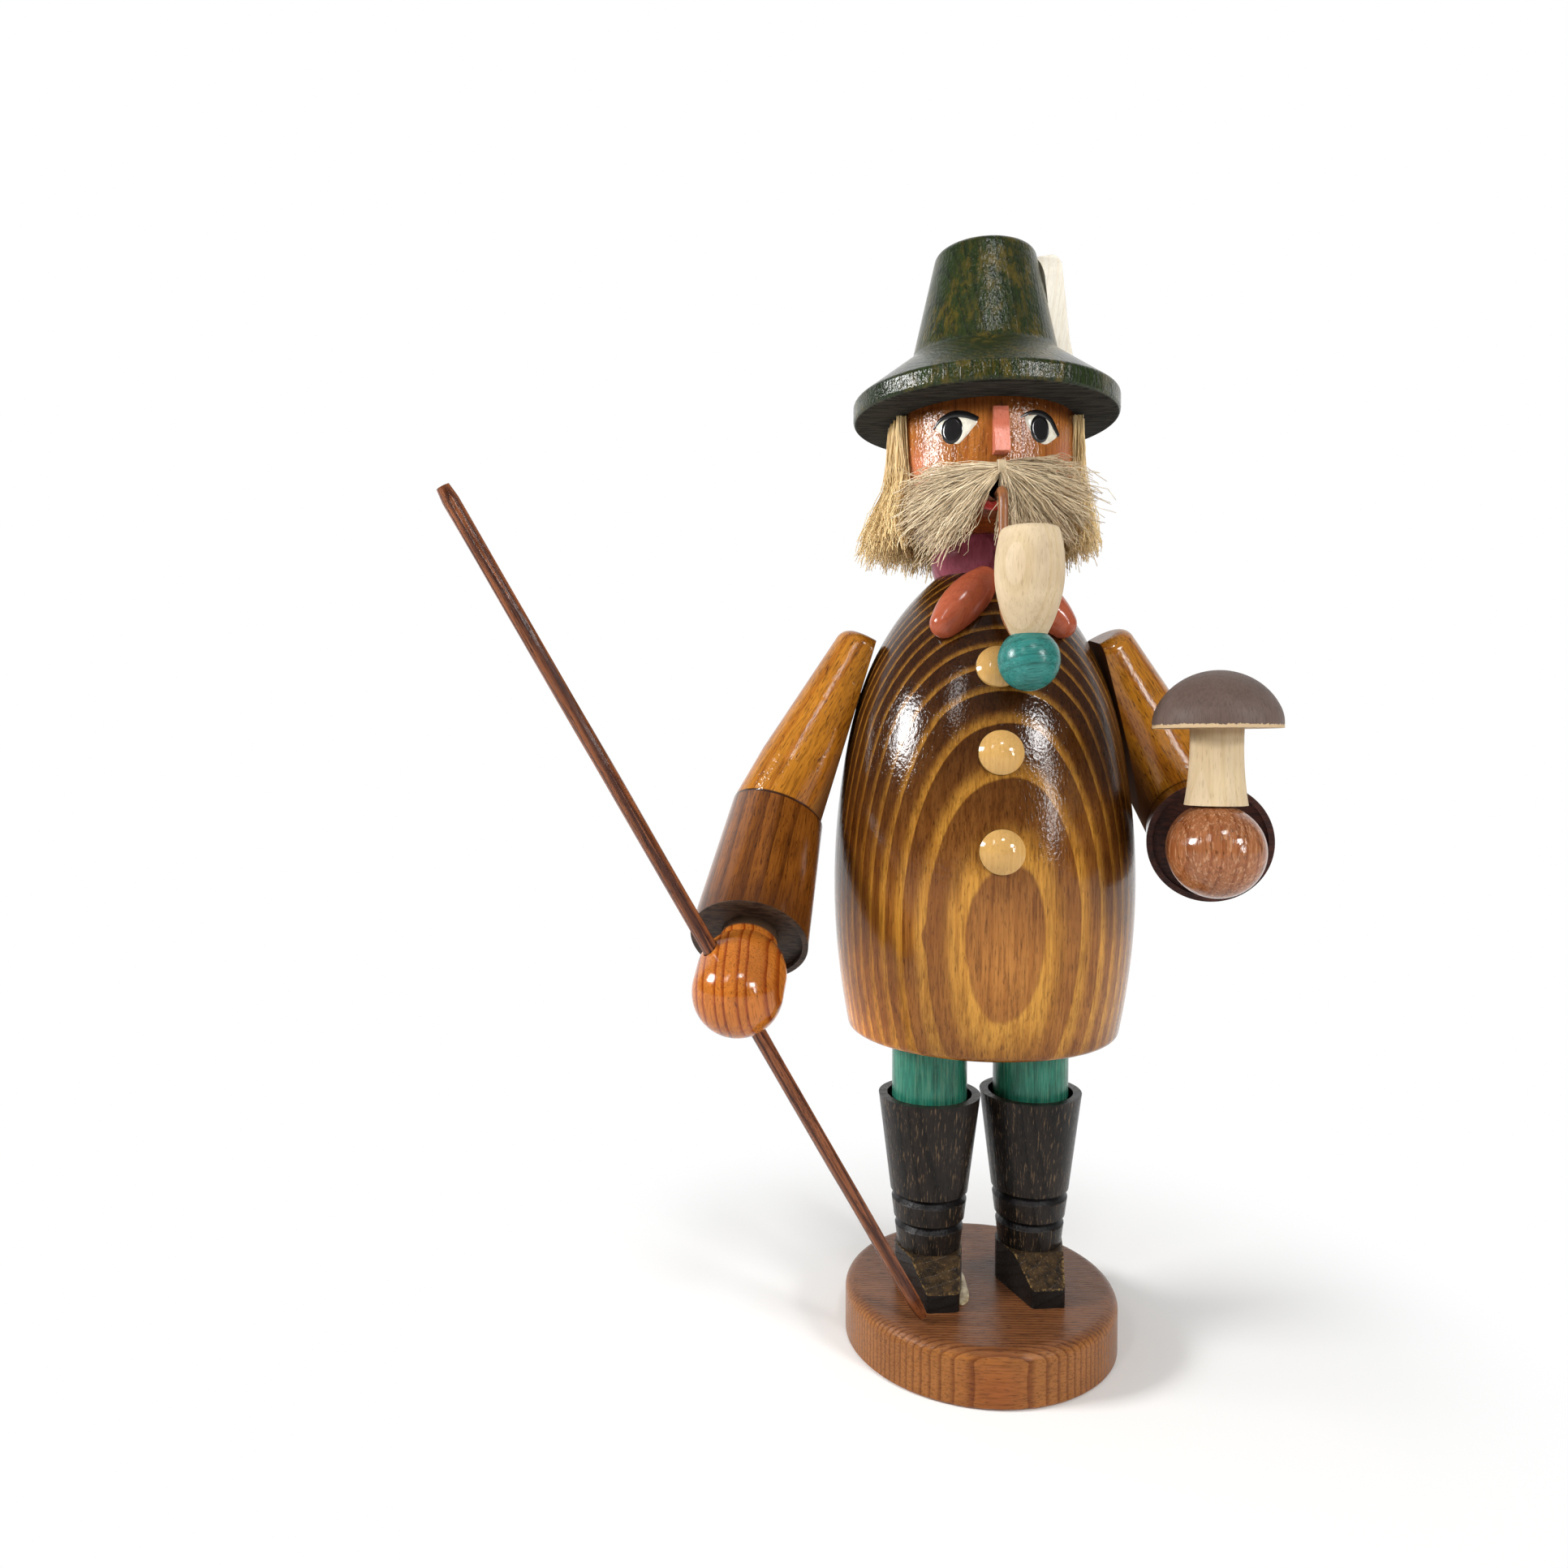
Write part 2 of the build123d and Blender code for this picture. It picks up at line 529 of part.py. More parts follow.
def walking_staff():
    foot, way = staff_line()
    staff = peg(STAFF_RADIUS, 0, STAFF_LENGTH)
    return Plane(origin=foot, z_dir=way) * chamfer(staff.edges().filter_by(GeomType.CIRCLE), STAFF_CHAMFER)


def right_hand():
    foot, way = staff_line()
    return hand(ARMS[RIGHT]) - rod(foot, foot + way * STAFF_LENGTH, STAFF_RADIUS + STAFF_FIT)


def mushroom_place():
    fist = ARMS[LEFT].fist
    return Pos(fist.X, fist.Y, fist.Z + HAND_RADIUS - MUSHROOM_FLAT)


def left_hand():
    filed = Pos(0, 0, HAND_RADIUS) * Box(2 * HAND_RADIUS, 2 * HAND_RADIUS, 2 * HAND_RADIUS)
    hole = peg(MUSHROOM_PEG_RADIUS + GLUE_GAP, -MUSHROOM_PEG_LENGTH - GLUE_GAP, 1)
    return hand(ARMS[LEFT]) - mushroom_place() * (filed + hole)


def mushroom_stem():
    """Waisted stem with a peg at each end."""
    side = ThreePointArc(
        (MUSHROOM_FOOT_RADIUS, 0), (MUSHROOM_NECK_RADIUS, MUSHROOM_WAIST_HEIGHT),
        (MUSHROOM_NECK_RADIUS, MUSHROOM_STEM_LENGTH))
    rest = Polyline((MUSHROOM_NECK_RADIUS, MUSHROOM_STEM_LENGTH), (0, MUSHROOM_STEM_LENGTH), (0, 0),
                    (MUSHROOM_FOOT_RADIUS, 0))
    pegs = peg(MUSHROOM_PEG_RADIUS, -MUSHROOM_PEG_LENGTH, MUSHROOM_STEM_LENGTH + MUSHROOM_PEG_LENGTH)
    return mushroom_place() * (turned(side, rest) + pegs)


def oval_quarter(wide_half, rise, flank_radius, foot):
    """Quarter of an oval as radius and height: a tight arc beside its foot and a flatter one over it."""
    flank_x = wide_half - flank_radius
    narrow = rise - flank_radius
    depth = (flank_x ** 2 - narrow ** 2) / (2 * narrow)
    join = degrees(atan2(depth, flank_x))
    flank = CenterArc((flank_x, foot), flank_radius, 0, join)
    return flank, CenterArc((0, foot - depth), rise + depth, join, 90 - join)


def mushroom_cap():
    """Domed cap, flat underneath and drilled there for the stem's peg."""
    rise = MUSHROOM_CAP_HEIGHT - MUSHROOM_CAP_RIM
    flank, top = oval_quarter(MUSHROOM_CAP_RADIUS, rise, MUSHROOM_CAP_FLANK, MUSHROOM_CAP_RIM)
    rest = Polyline(
        (0, MUSHROOM_CAP_HEIGHT), (0, 0), (MUSHROOM_CAP_RADIUS, 0), (MUSHROOM_CAP_RADIUS, MUSHROOM_CAP_RIM))
    cap = turned(flank, top, rest) - peg(MUSHROOM_PEG_RADIUS + GLUE_GAP, -1, MUSHROOM_PEG_LENGTH + GLUE_GAP)
    return mushroom_place() * Pos(0, 0, MUSHROOM_STEM_LENGTH) * cap


def neck_collar():
    """Ring between coat and head, bulging a little, with the neck through it."""
    half = COLLAR_HEIGHT / 2
    inner = NECK_RADIUS + GLUE_GAP
    bulge = ThreePointArc(
        (COLLAR_RADIUS, 0), (COLLAR_RADIUS + COLLAR_BULGE, half), (COLLAR_RADIUS, COLLAR_HEIGHT))
    rest = Polyline((COLLAR_RADIUS, COLLAR_HEIGHT), (inner, COLLAR_HEIGHT), (inner, 0), (COLLAR_RADIUS, 0))
    return Pos(0, 0, collar_z) * turned(bulge, rest)


def on_face(height):
    """Place on the head's axis at a height above the chin, turned with the head."""
    return Pos(0, 0, head_z + height) * Rot(0, 0, HEAD_TURN)


def head():
    """Turned head with a hollow neck; the smoke rises through it and leaves by the mouth."""
    chin = TangentArc((HEAD_RADIUS, CHIN_HEIGHT), (COLLAR_RADIUS, 0), tangent=(0, -1))
    foot = -COLLAR_HEIGHT - NECK_DEPTH
    top = HEAD_HEIGHT + HEAD_SPIGOT_HEIGHT
    rest = Polyline(
        (HEAD_RADIUS, CHIN_HEIGHT), (HEAD_RADIUS, HEAD_HEIGHT), (HEAD_SPIGOT_RADIUS, HEAD_HEIGHT),
        (HEAD_SPIGOT_RADIUS, top), (0, top), (0, MOUTH_HEIGHT + SMOKE_TOP),
        (SMOKE_RADIUS, MOUTH_HEIGHT + SMOKE_TOP - SMOKE_RADIUS / 2), (SMOKE_RADIUS, foot),
        (NECK_RADIUS, foot), (NECK_RADIUS, 0), (COLLAR_RADIUS, 0))
    mouth = Pos(0, 0, MOUTH_HEIGHT) * Rot(90, 0, 0) * peg(MOUTH_RADIUS, 0, HEAD_RADIUS + 1)
    nose_hole = nose_peg(NOSE_PEG_RADIUS + GLUE_GAP, NOSE_PEG_LENGTH + GLUE_GAP)
    return on_face(0) * (turned(chin, rest) - mouth - nose_hole)


def nose_peg(radius, depth):
    """Peg from behind the nose into the face, in the face's own frame."""
    height = NOSE_HEIGHT + NOSE_PEG_HEIGHT
    return Pos(0, -HEAD_RADIUS, height) * Rot(90, 0, 0) * peg(radius, -depth, NOSE_TOP)


def nose():
    """Carved wedge, deepest at its tip, hollowed behind to sit on the round face."""
    top = NOSE_HEIGHT + NOSE_LENGTH
    side = Polyline(
        (0, NOSE_HEIGHT), (-HEAD_RADIUS - NOSE_TIP, NOSE_HEIGHT), (-HEAD_RADIUS - NOSE_TOP, top), (0, top),
        close=True)
    wedge = extrude(Plane.YZ * make_face(side), NOSE_WIDTH / 2, both=True)
    wedge -= peg(HEAD_RADIUS + GLUE_GAP, NOSE_HEIGHT - 1, top + 1)
    return on_face(0) * (wedge + nose_peg(NOSE_PEG_RADIUS, NOSE_PEG_LENGTH))


def hair():
    """Fringe of flax round the sides and back of the head, flaring to a straight cut."""
    top = HEAD_HEIGHT - SOFT_GAP
    bottom = HEAD_HEIGHT - HAIR_LENGTH
    inner_top = HEAD_RADIUS + SOFT_GAP
    outer_top = HEAD_RADIUS + HAIR_ROOT
    outer_bottom = HEAD_RADIUS + HAIR_FLARE
    inner_bottom = outer_bottom - HAIR_FRINGE
    middle = (top + bottom) / 2
    outside = ThreePointArc(
        (outer_top, top), ((outer_top + outer_bottom) / 2 - HAIR_CURVE, middle), (outer_bottom, bottom))
    inside = ThreePointArc(
        (inner_bottom, bottom), ((inner_top + inner_bottom) / 2 - HAIR_CURVE / 2, middle), (inner_top, top))
    lids = [Line((outer_bottom, bottom), (inner_bottom, bottom)), Line((inner_top, top), (outer_top, top))]
    ring = revolve(Plane.XZ * make_face([outside, inside, *lids]), Axis.Z, 360 - 2 * HAIR_TEMPLE)
    return on_face(0) * Rot(0, 0, HAIR_TEMPLE - 90) * ring


def moustache_tie():
    """Wound thread that holds the moustache under the nose."""
    out = HEAD_RADIUS + SOFT_GAP + TIE_RADIUS
    knot = Pos(0, -out, MOUSTACHE_HEIGHT) * Rot(0, 90, 0) * peg(TIE_RADIUS, -TIE_LENGTH / 2, TIE_LENGTH / 2)
    return on_face(0) * knot


def moustache(side):
    """One half of the moustache: a bundle of fibre that fans out to a straight cut."""
    out = HEAD_RADIUS + SOFT_GAP + TIE_RADIUS
    level = cos(radians(MOUSTACHE_DROP))
    beside = TIE_LENGTH / 2 + SOFT_GAP + MOUSTACHE_ROOT * sin(radians(MOUSTACHE_DROP))
    root = Vector(side * beside, -out, MOUSTACHE_HEIGHT)
    way = Vector(
        side * level * cos(radians(MOUSTACHE_SWEEP)), level * sin(radians(MOUSTACHE_SWEEP)),
        -sin(radians(MOUSTACHE_DROP)))
    across = Vector(side * sin(radians(MOUSTACHE_DROP)), 0, level)
    start = Plane(origin=root, x_dir=across, z_dir=way)
    end = Plane(origin=root + way * MOUSTACHE_LENGTH, x_dir=across, z_dir=way)
    bundle = loft([start * Ellipse(MOUSTACHE_ROOT, MOUSTACHE_ROOT * 0.9),
                   end * Ellipse(MOUSTACHE_SPREAD, MOUSTACHE_THICK)])
    return on_face(0) * bundle


def hat():
    """Turned hat: thick flat brim, sloping up to a tapered crown."""
    shape = turned(Polyline(
        (0, 0), (BRIM_RADIUS, 0), (BRIM_RADIUS, BRIM_THICKNESS), (CROWN_BASE_RADIUS, CROWN_BASE_HEIGHT),
        (CROWN_TOP_RADIUS, HAT_HEIGHT), (0, HAT_HEIGHT), close=True))
    rings = shape.edges().filter_by(GeomType.CIRCLE).sort_by(Axis.Z)
    shape = fillet(rings[-1], CROWN_ROUND)
    rings = shape.edges().filter_by(GeomType.CIRCLE).sort_by(Axis.Z)
    shape = fillet(rings[2], CROWN_HOLLOW)
    rings = shape.edges().filter_by(GeomType.CIRCLE).sort_by(Axis.Z)
    shape = fillet(rings[:2], BRIM_ROUND)
    shape -= peg(HEAD_SPIGOT_RADIUS + GLUE_GAP, -1, HEAD_SPIGOT_HEIGHT + GLUE_GAP)
    slot = Box(FEATHER_FOOT_WIDTH + 2 * GLUE_GAP, FEATHER_THICKNESS + 2 * GLUE_GAP, 2 * FEATHER_TONGUE)
    shape -= feather_place() * Pos(0, -FEATHER_THICKNESS / 2, 0) * slot
    flat = Box(FEATHER_WIDTH, 2 * FEATHER_THICKNESS, HAT_HEIGHT)
    shape -= feather_place() * Pos(0, GLUE_GAP - FEATHER_THICKNESS, HAT_HEIGHT / 2) * flat
    return Pos(0, 0, hat_z) * shape


def feather_place():
    """Place in the hat's own frame on the flat for the feather, Z up along the crown and Y into it."""
    lean = degrees(atan2(CROWN_BASE_RADIUS - CROWN_TOP_RADIUS, HAT_HEIGHT - CROWN_BASE_HEIGHT))
    foot = Pos(0, FEATHER_SINK - CROWN_BASE_RADIUS, CROWN_BASE_HEIGHT)
    return Rot(0, 0, FEATHER_AZIMUTH) * foot * Rot(-lean, 0, 0)


def hat_feather():
    """Flat wooden feather with a round tip, its tongue let into the brim."""
    half = FEATHER_WIDTH / 2
    foot = FEATHER_FOOT_WIDTH / 2
    shoulder = FEATHER_LENGTH - half
    blade = Polyline(
        (-half, shoulder), (-foot, 0), (-foot, -FEATHER_TONGUE), (foot, -FEATHER_TONGUE), (foot, 0),
        (half, shoulder))
    tip = ThreePointArc((half, shoulder), (0, FEATHER_LENGTH), (-half, shoulder))
    leaf = extrude(Plane.XZ * make_face([blade, tip]), FEATHER_THICKNESS)
    rim = leaf.faces().sort_by(Axis.Y)[0].edges().filter_by_position(Axis.Z, 0.1, FEATHER_LENGTH)
    leaf = fillet(rim, FEATHER_ROUND)
    return Pos(0, 0, hat_z) * feather_place() * leaf


def oval_half(long_half, wide_half, tip_radius):
    """Upper half of an oval along X: a round tip at each end and one flatter arc between them."""
    tip_x = long_half - tip_radius
    narrow = wide_half - tip_radius
    depth = (tip_x ** 2 - narrow ** 2) / (2 * narrow)
    join = degrees(atan2(depth, tip_x))
    flank = CenterArc((0, -depth), wide_half + depth, join, 180 - 2 * join)
    tips = [CenterArc((tip_x, 0), tip_radius, 0, join), CenterArc((-tip_x, 0), tip_radius, 180 - join, join)]
    return [flank, *tips, Line((-long_half, 0), (long_half, 0))]


def neckerchief_end(side):
    """Turned oval drop, hollowed behind to lie on the coat below the collar."""
    long_half = SCARF_LENGTH / 2
    wide_half = SCARF_WIDTH / 2
    roll = radians(SCARF_ROLL)
    reach = sqrt((long_half * sin(roll)) ** 2 + (wide_half * cos(roll)) ** 2)
    height = COAT_HEIGHT - SCARF_DROP
    spread = degrees((reach + SCARF_PARTING / 2) / coat_surface(height)[0])
    drop = revolve(make_face(oval_half(long_half, wide_half, SCARF_TIP_RADIUS)), Axis.X)
    spot = on_coat(height, SCARF_TURN + side * spread)
    placed = spot * Pos(0, 0, SCARF_LIFT) * Rot(0, 0, 90 + side * SCARF_ROLL) * drop
    return placed - coat_blank(GLUE_GAP)


def stem_front():
    """How far in front of the axis the stem runs down, clear of the face and of the coat."""
    knee_height = mouth_z - PIPE_DROP + STEM_KNEE - coat_z
    return max(HEAD_RADIUS + STEM_OUT, coat_surface(knee_height)[0] + PIPE_GAP + STEM_RADIUS)


def pipe_front():
    """How far in front of the axis the bowl and bead hang, clear of the coat and of the stem."""
    bead_height = mouth_z - PIPE_DROP - coat_z
    clear_of_coat = coat_surface(bead_height)[0] + PIPE_GAP + BEAD_RADIUS
    clear_of_stem = stem_front() + STEM_SLOPE + STEM_RADIUS + STEM_BOWL_GAP + BOWL_RADIUS
    return max(clear_of_coat, clear_of_stem)


def bead_middle():
    """Middle of the bead in the face's own frame."""
    return Vector(PIPE_SIDE, -pipe_front(), MOUTH_HEIGHT - PIPE_DROP)


def bowl_place():
    """Seat of the bowl on the bead, where its foot is as wide as the flat filed there."""
    seat = sqrt(BEAD_RADIUS ** 2 - BOWL_FOOT_RADIUS ** 2)
    return Pos(bead_middle() + Vector(0, 0, seat))


def stem_points():
    """The stem from inside the mouth, out over the lip, down in front of the coat and into the bead."""
    lip = MOUTH_HEIGHT - MOUTH_RADIUS + STEM_RADIUS + STEM_REST
    front = stem_front()
    knee = Vector(0, -front - STEM_SLOPE, MOUTH_HEIGHT - PIPE_DROP + STEM_KNEE)
    way = (bead_middle() - knee).normalized()
    end = bead_middle() - way * (BEAD_RADIUS - STEM_SOCKET)
    return [Vector(0, STEM_INSERT - HEAD_RADIUS, lip), Vector(0, -front, lip), knee, end]


def pipe_stem():
    route = FilletPolyline(*stem_points(), radius=[STEM_HOOK_RADIUS, STEM_KNEE_RADIUS])
    return on_face(0) * sweep(Plane(origin=route @ 0, z_dir=route % 0) * Circle(STEM_RADIUS), path=route)


def pipe_bead():
    """Round bead under the bowl, filed flat for it and drilled for its peg and the stem."""
    size = 2 * BEAD_RADIUS
    filed = Pos(0, 0, BEAD_RADIUS) * Box(size, size, size)
    hole = peg(BOWL_PEG_RADIUS + GLUE_GAP, -BOWL_PEG_LENGTH - GLUE_GAP, 1)
    knee, end = stem_points()[-2:]
    way = (end - knee).normalized()
    bead = Pos(bead_middle()) * Sphere(BEAD_RADIUS) - bowl_place() * (filed + hole)
    return on_face(0) * (bead - rod(knee, end + way * GLUE_GAP, STEM_RADIUS + GLUE_GAP))


def pipe_bowl():
    """Bellied bowl with a small bore in its top and a peg in its foot."""
    side = Spline((BOWL_FOOT_RADIUS, 0), (BOWL_RADIUS, BOWL_BELLY_HEIGHT), (BOWL_TOP_RADIUS, BOWL_LENGTH))
    rest = Polyline((BOWL_TOP_RADIUS, BOWL_LENGTH), (0, BOWL_LENGTH), (0, 0), (BOWL_FOOT_RADIUS, 0))
    bowl = turned(side, rest)
    bowl = fillet(bowl.edges().group_by(Axis.Z)[-1], BOWL_ROUND)
    bowl -= peg(BOWL_BORE_RADIUS, BOWL_LENGTH - BOWL_BORE_DEPTH, BOWL_LENGTH + 1)
    return on_face(0) * bowl_place() * (bowl + peg(BOWL_PEG_RADIUS, -BOWL_PEG_LENGTH, BOWL_PEG_LENGTH))


ARMS = {
    RIGHT: Arm(RIGHT, RIGHT_UPPER_LENGTH, RIGHT_ELBOW_CLEARANCE, RIGHT_SWING, RIGHT_DROP, RIGHT_HEADING),
    LEFT: Arm(LEFT, LEFT_UPPER_LENGTH, LEFT_ELBOW_CLEARANCE, LEFT_SWING, LEFT_DROP, LEFT_HEADING),
}

parts = {"base_plate": base_plate()}
parts["foot_dowels"] = Compound([at_leg(side, shoe_z) * foot_dowel() for side in (RIGHT, LEFT)])
for side in (RIGHT, LEFT):
    parts[f"shoe_{NAMES[side]}"] = at_leg(side, shoe_z) * shoe()
    parts[f"boot_{NAMES[side]}"] = at_leg(side, boot_z) * boot()
    parts[f"trouser_leg_{NAMES[side]}"] = at_leg(side, leg_z) * trouser_leg()
parts["waist_plug"] = waist_plug()
parts["burner_plate"] = burner_plate()
parts["burner_nails"] = Compound(
    [Pos(side * NAIL_OFFSET, 0, plug_top_z) * burner_nail() for side in (RIGHT, LEFT)])
parts["coat"] = coat()
for name, drop in BUTTON_DROPS.items():
    parts[name] = button(COAT_HEIGHT - drop)
parts["shoulder_dowels"] = Compound([arm.shoulder_dowel for arm in ARMS.values()])
parts["elbow_dowels"] = Compound([arm.elbow_dowel for arm in ARMS.values()])
for side, arm in ARMS.items():
    parts[f"upper_arm_{NAMES[side]}"] = arm.upper
    parts[f"forearm_{NAMES[side]}"] = arm.forearm
    parts[f"neckerchief_end_{NAMES[side]}"] = neckerchief_end(side)
    parts[f"moustache_{NAMES[side]}"] = moustache(side)
parts["hand_right"] = right_hand()
parts["hand_left"] = left_hand()
parts["mushroom_stem"] = mushroom_stem()
parts["mushroom_cap"] = mushroom_cap()
parts["neck_collar"] = neck_collar()
parts["head"] = head()
parts["nose"] = nose()
parts["moustache_tie"] = moustache_tie()
parts["hair"] = hair()
parts["hat"] = hat()
parts["hat_feather"] = hat_feather()
parts["pipe_stem"] = pipe_stem()
parts["pipe_bead"] = pipe_bead()
parts["pipe_bowl"] = pipe_bowl()
parts["walking_staff"] = walking_staff()

os.makedirs("parts", exist_ok=True)
for name, shape in parts.items():
    export_step(shape, f"parts/{name}.step")
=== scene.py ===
from math import cos, pi, radians, sin
from random import Random

import bpy
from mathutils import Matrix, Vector


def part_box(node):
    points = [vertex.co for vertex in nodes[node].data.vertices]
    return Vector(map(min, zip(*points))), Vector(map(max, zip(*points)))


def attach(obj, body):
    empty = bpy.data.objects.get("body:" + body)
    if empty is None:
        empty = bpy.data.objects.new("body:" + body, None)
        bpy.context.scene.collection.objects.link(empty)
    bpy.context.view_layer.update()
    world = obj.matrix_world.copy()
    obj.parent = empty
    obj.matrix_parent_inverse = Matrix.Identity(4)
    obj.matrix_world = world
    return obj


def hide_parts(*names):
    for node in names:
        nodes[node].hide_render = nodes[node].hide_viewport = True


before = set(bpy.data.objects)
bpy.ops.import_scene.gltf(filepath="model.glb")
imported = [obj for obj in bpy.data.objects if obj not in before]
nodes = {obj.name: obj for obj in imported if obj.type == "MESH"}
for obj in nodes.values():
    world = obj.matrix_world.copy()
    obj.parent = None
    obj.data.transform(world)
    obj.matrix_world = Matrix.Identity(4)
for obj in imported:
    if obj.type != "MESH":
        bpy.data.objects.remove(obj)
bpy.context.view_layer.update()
scene = bpy.context.scene
MM = 0.001

# Camera: close in front of the figure and a little to its right, at the height of its chest,
# looking slightly down.
lens = bpy.data.cameras.new("camera")
lens.sensor_width = 36.0
lens.lens = 24.596
lens.clip_start = 0.01
camera = bpy.data.objects.new("camera", lens)
scene.collection.objects.link(camera)
camera.location = Vector((-23.44, -190.91, 104.75)) * MM
camera.rotation_euler = Vector((-0.0605, 0.9976, -0.0343)).to_track_quat("-Z", "Y").to_euler()
scene.camera = camera
scene.view_settings.view_transform = "Standard"


# Floor and backdrop: one pale sheet that lies under the figure and sweeps up behind it. Close to
# the figure it takes shadows; further off it fades to plain white.
def put(tree, kind, sockets=None, **settings):
    """A node with its settings made and its inputs set or linked. Shader nodes go by their short name."""
    node = tree.nodes.new(kind if kind.startswith(("Geometry", "Function")) else "ShaderNode" + kind)
    for key, value in settings.items():
        setattr(node, key, value)
    for key, value in (sockets or {}).items():
        if isinstance(value, bpy.types.NodeSocket):
            tree.links.new(value, node.inputs[key])
        else:
            node.inputs[key].default_value = value
    return node


def calc(tree, operation, first, second=0.0, third=0.0):
    return put(tree, "Math", {0: first, 1: second, 2: third}, operation=operation).outputs[0]


def times(tree, first, second):
    return calc(tree, "MULTIPLY", first, second)


def vector(tree, operation, first, second):
    return put(tree, "VectorMath", {0: first, 1: second}, operation=operation).outputs[0]


def scaled(tree, offset, factor):
    return put(tree, "VectorMath", {0: offset, "Scale": factor}, operation="SCALE").outputs[0]


def length_of(tree, offset):
    return put(tree, "VectorMath", {0: offset}, operation="LENGTH").outputs["Value"]


def here(tree):
    """The shaded place, in the object's own metres."""
    return put(tree, "TexCoord").outputs["Object"]


def step(tree, value, low, high):
    """0 at low, 1 at high, smooth between."""
    node = put(tree, "MapRange", {"Value": value, "From Min": low, "From Max": high},
               interpolation_type="SMOOTHSTEP")
    return node.outputs["Result"]


def tint(tree, amount, under, over, mode="MIX"):
    return put(tree, "Mix", {0: amount, 6: under, 7: over}, data_type="RGBA", blend_type=mode).outputs[2]


def plain_mesh(name, points, faces, material, smooth=True):
    """A mesh object from points in millimetres."""
    mesh = bpy.data.meshes.new(name)
    mesh.from_pydata([Vector(point) * MM for point in points], [], faces)
    mesh.polygons.foreach_set("use_smooth", [smooth] * len(mesh.polygons))
    mesh.materials.append(material)
    piece = bpy.data.objects.new(name, mesh)
    scene.collection.objects.link(piece)
    return piece


def blank(name):
    """A new material with its tree and its surface node."""
    material = bpy.data.materials.new(name)
    material.use_nodes = True
    return material, material.node_tree, material.node_tree.nodes["Principled BSDF"]


def paint(tree, skin, colour):
    tree.links.new(colour, skin.inputs["Base Color"])


paper, tree, skin = blank("backdrop_paper")
skin.inputs["Roughness"].default_value = 0.9
skin.inputs["Specular IOR Level"].default_value = 0.1
place = here(tree)
away = length_of(tree, place)
mottle = put(tree, "TexNoise", {"Vector": place, "Scale": 40.0, "Detail": 4.0}).outputs["Fac"]
paint(tree, skin, tint(tree, times(tree, mottle, 0.1), (0.90, 0.895, 0.885, 1), (0.8, 0.8, 0.79, 1)))
rays = put(tree, "LightPath").outputs
seen = calc(tree, "MAXIMUM", calc(tree, "MAXIMUM", rays["Is Camera Ray"], rays["Is Glossy Ray"]),
            rays["Is Transmission Ray"])
white = put(tree, "Emission", {"Color": (1, 1, 1, 1), "Strength": 1.0})
fade = times(tree, seen, step(tree, away, 0.025, 0.10))
mixed = put(tree, "MixShader", {0: fade, 1: skin.outputs[0], 2: white.outputs[0]})
tree.links.new(mixed.outputs[0], tree.nodes["Material Output"].inputs["Surface"])

HALF_SHEET, FLOOR_END, BEND, SHEET_TOP = 3000, 900, 700, 4000
sweep = [(-HALF_SHEET, 0), (FLOOR_END, 0)]
for turn in range(10, 91, 10):
    sweep.append((FLOOR_END + BEND * sin(radians(turn)), BEND - BEND * cos(radians(turn))))
sweep.append((FLOOR_END + BEND, SHEET_TOP))
paper_points = [(x, y, z) for y, z in sweep for x in (-HALF_SHEET, HALF_SHEET)]
paper_faces = [(2 * i, 2 * i + 1, 2 * i + 3, 2 * i + 2) for i in range(len(sweep) - 1)]
backdrop = plain_mesh("backdrop", paper_points, paper_faces, paper)

# Light: a wide soft panel on the left, another at the front right with a dimmer one under it and a dim one
# at the front left, whose reflections run down the lacquer, and a ceiling light, in a dim room.
world = bpy.data.worlds.new("studio")
scene.world = world
world.use_nodes = True
tree = world.node_tree
height = put(tree, "SeparateXYZ", {0: put(tree, "TexCoord").outputs["Generated"]}).outputs["Z"]
glow = tint(tree, step(tree, height, -0.1, 0.9), (0.08, 0.08, 0.085, 1), (0.33, 0.33, 0.32, 1))
tree.links.new(glow, tree.nodes["Background"].inputs["Color"])


def panel(name, spot, aim, size, power):
    lamp = bpy.data.lights.new(name, "AREA")
    lamp.shape = "RECTANGLE"
    lamp.size, lamp.size_y = size
    lamp.energy = power
    holder = bpy.data.objects.new(name, lamp)
    scene.collection.objects.link(holder)
    holder.location = spot
    holder.rotation_euler = (Vector(aim) - Vector(spot)).to_track_quat("-Z", "Y").to_euler()


CHEST = (0, 0, 0.11)
panel("left_panel", (-0.42, -0.11, 0.27), CHEST, (0.13, 0.10), 2.3)
panel("front_panel", (0.32, -0.38, 0.30), CHEST, (0.12, 0.08), 1.25)
panel("lower_panel", (0.335, -0.335, 0.165), CHEST, (0.035, 0.11), 0.36)
panel("dim_panel", (-0.20, -0.33, 0.37), CHEST, (0.03, 0.12), 0.2)
panel("ceiling_panel", (0.12, -0.60, 0.78), (0, 0, 0.1), (0.12, 0.09), 1.5)

# Base plate: a disc turned from reddish softwood board, its rings standing on edge so that the grain
# runs across the top and upright round the side; its top edge is rounded and lacquered.
RING_GRAIN = bpy.data.node_groups.new("ring_grain", "ShaderNodeTree")
RING_GRAIN.interface.new_socket("Vector", in_out="INPUT", socket_type="NodeSocketVector")
for name in ("Ring Width", "Ring Shift", "Unevenness", "Swell", "Waviness", "Wave Size", "Late From",
             "Late Full"):
    RING_GRAIN.interface.new_socket(name, in_out="INPUT", socket_type="NodeSocketFloat")
for name in ("Latewood", "Fibre", "Pore", "Cloud", "Peel"):
    RING_GRAIN.interface.new_socket(name, in_out="OUTPUT", socket_type="NodeSocketFloat")
tree = RING_GRAIN
given = tree.nodes.new("NodeGroupInput").outputs
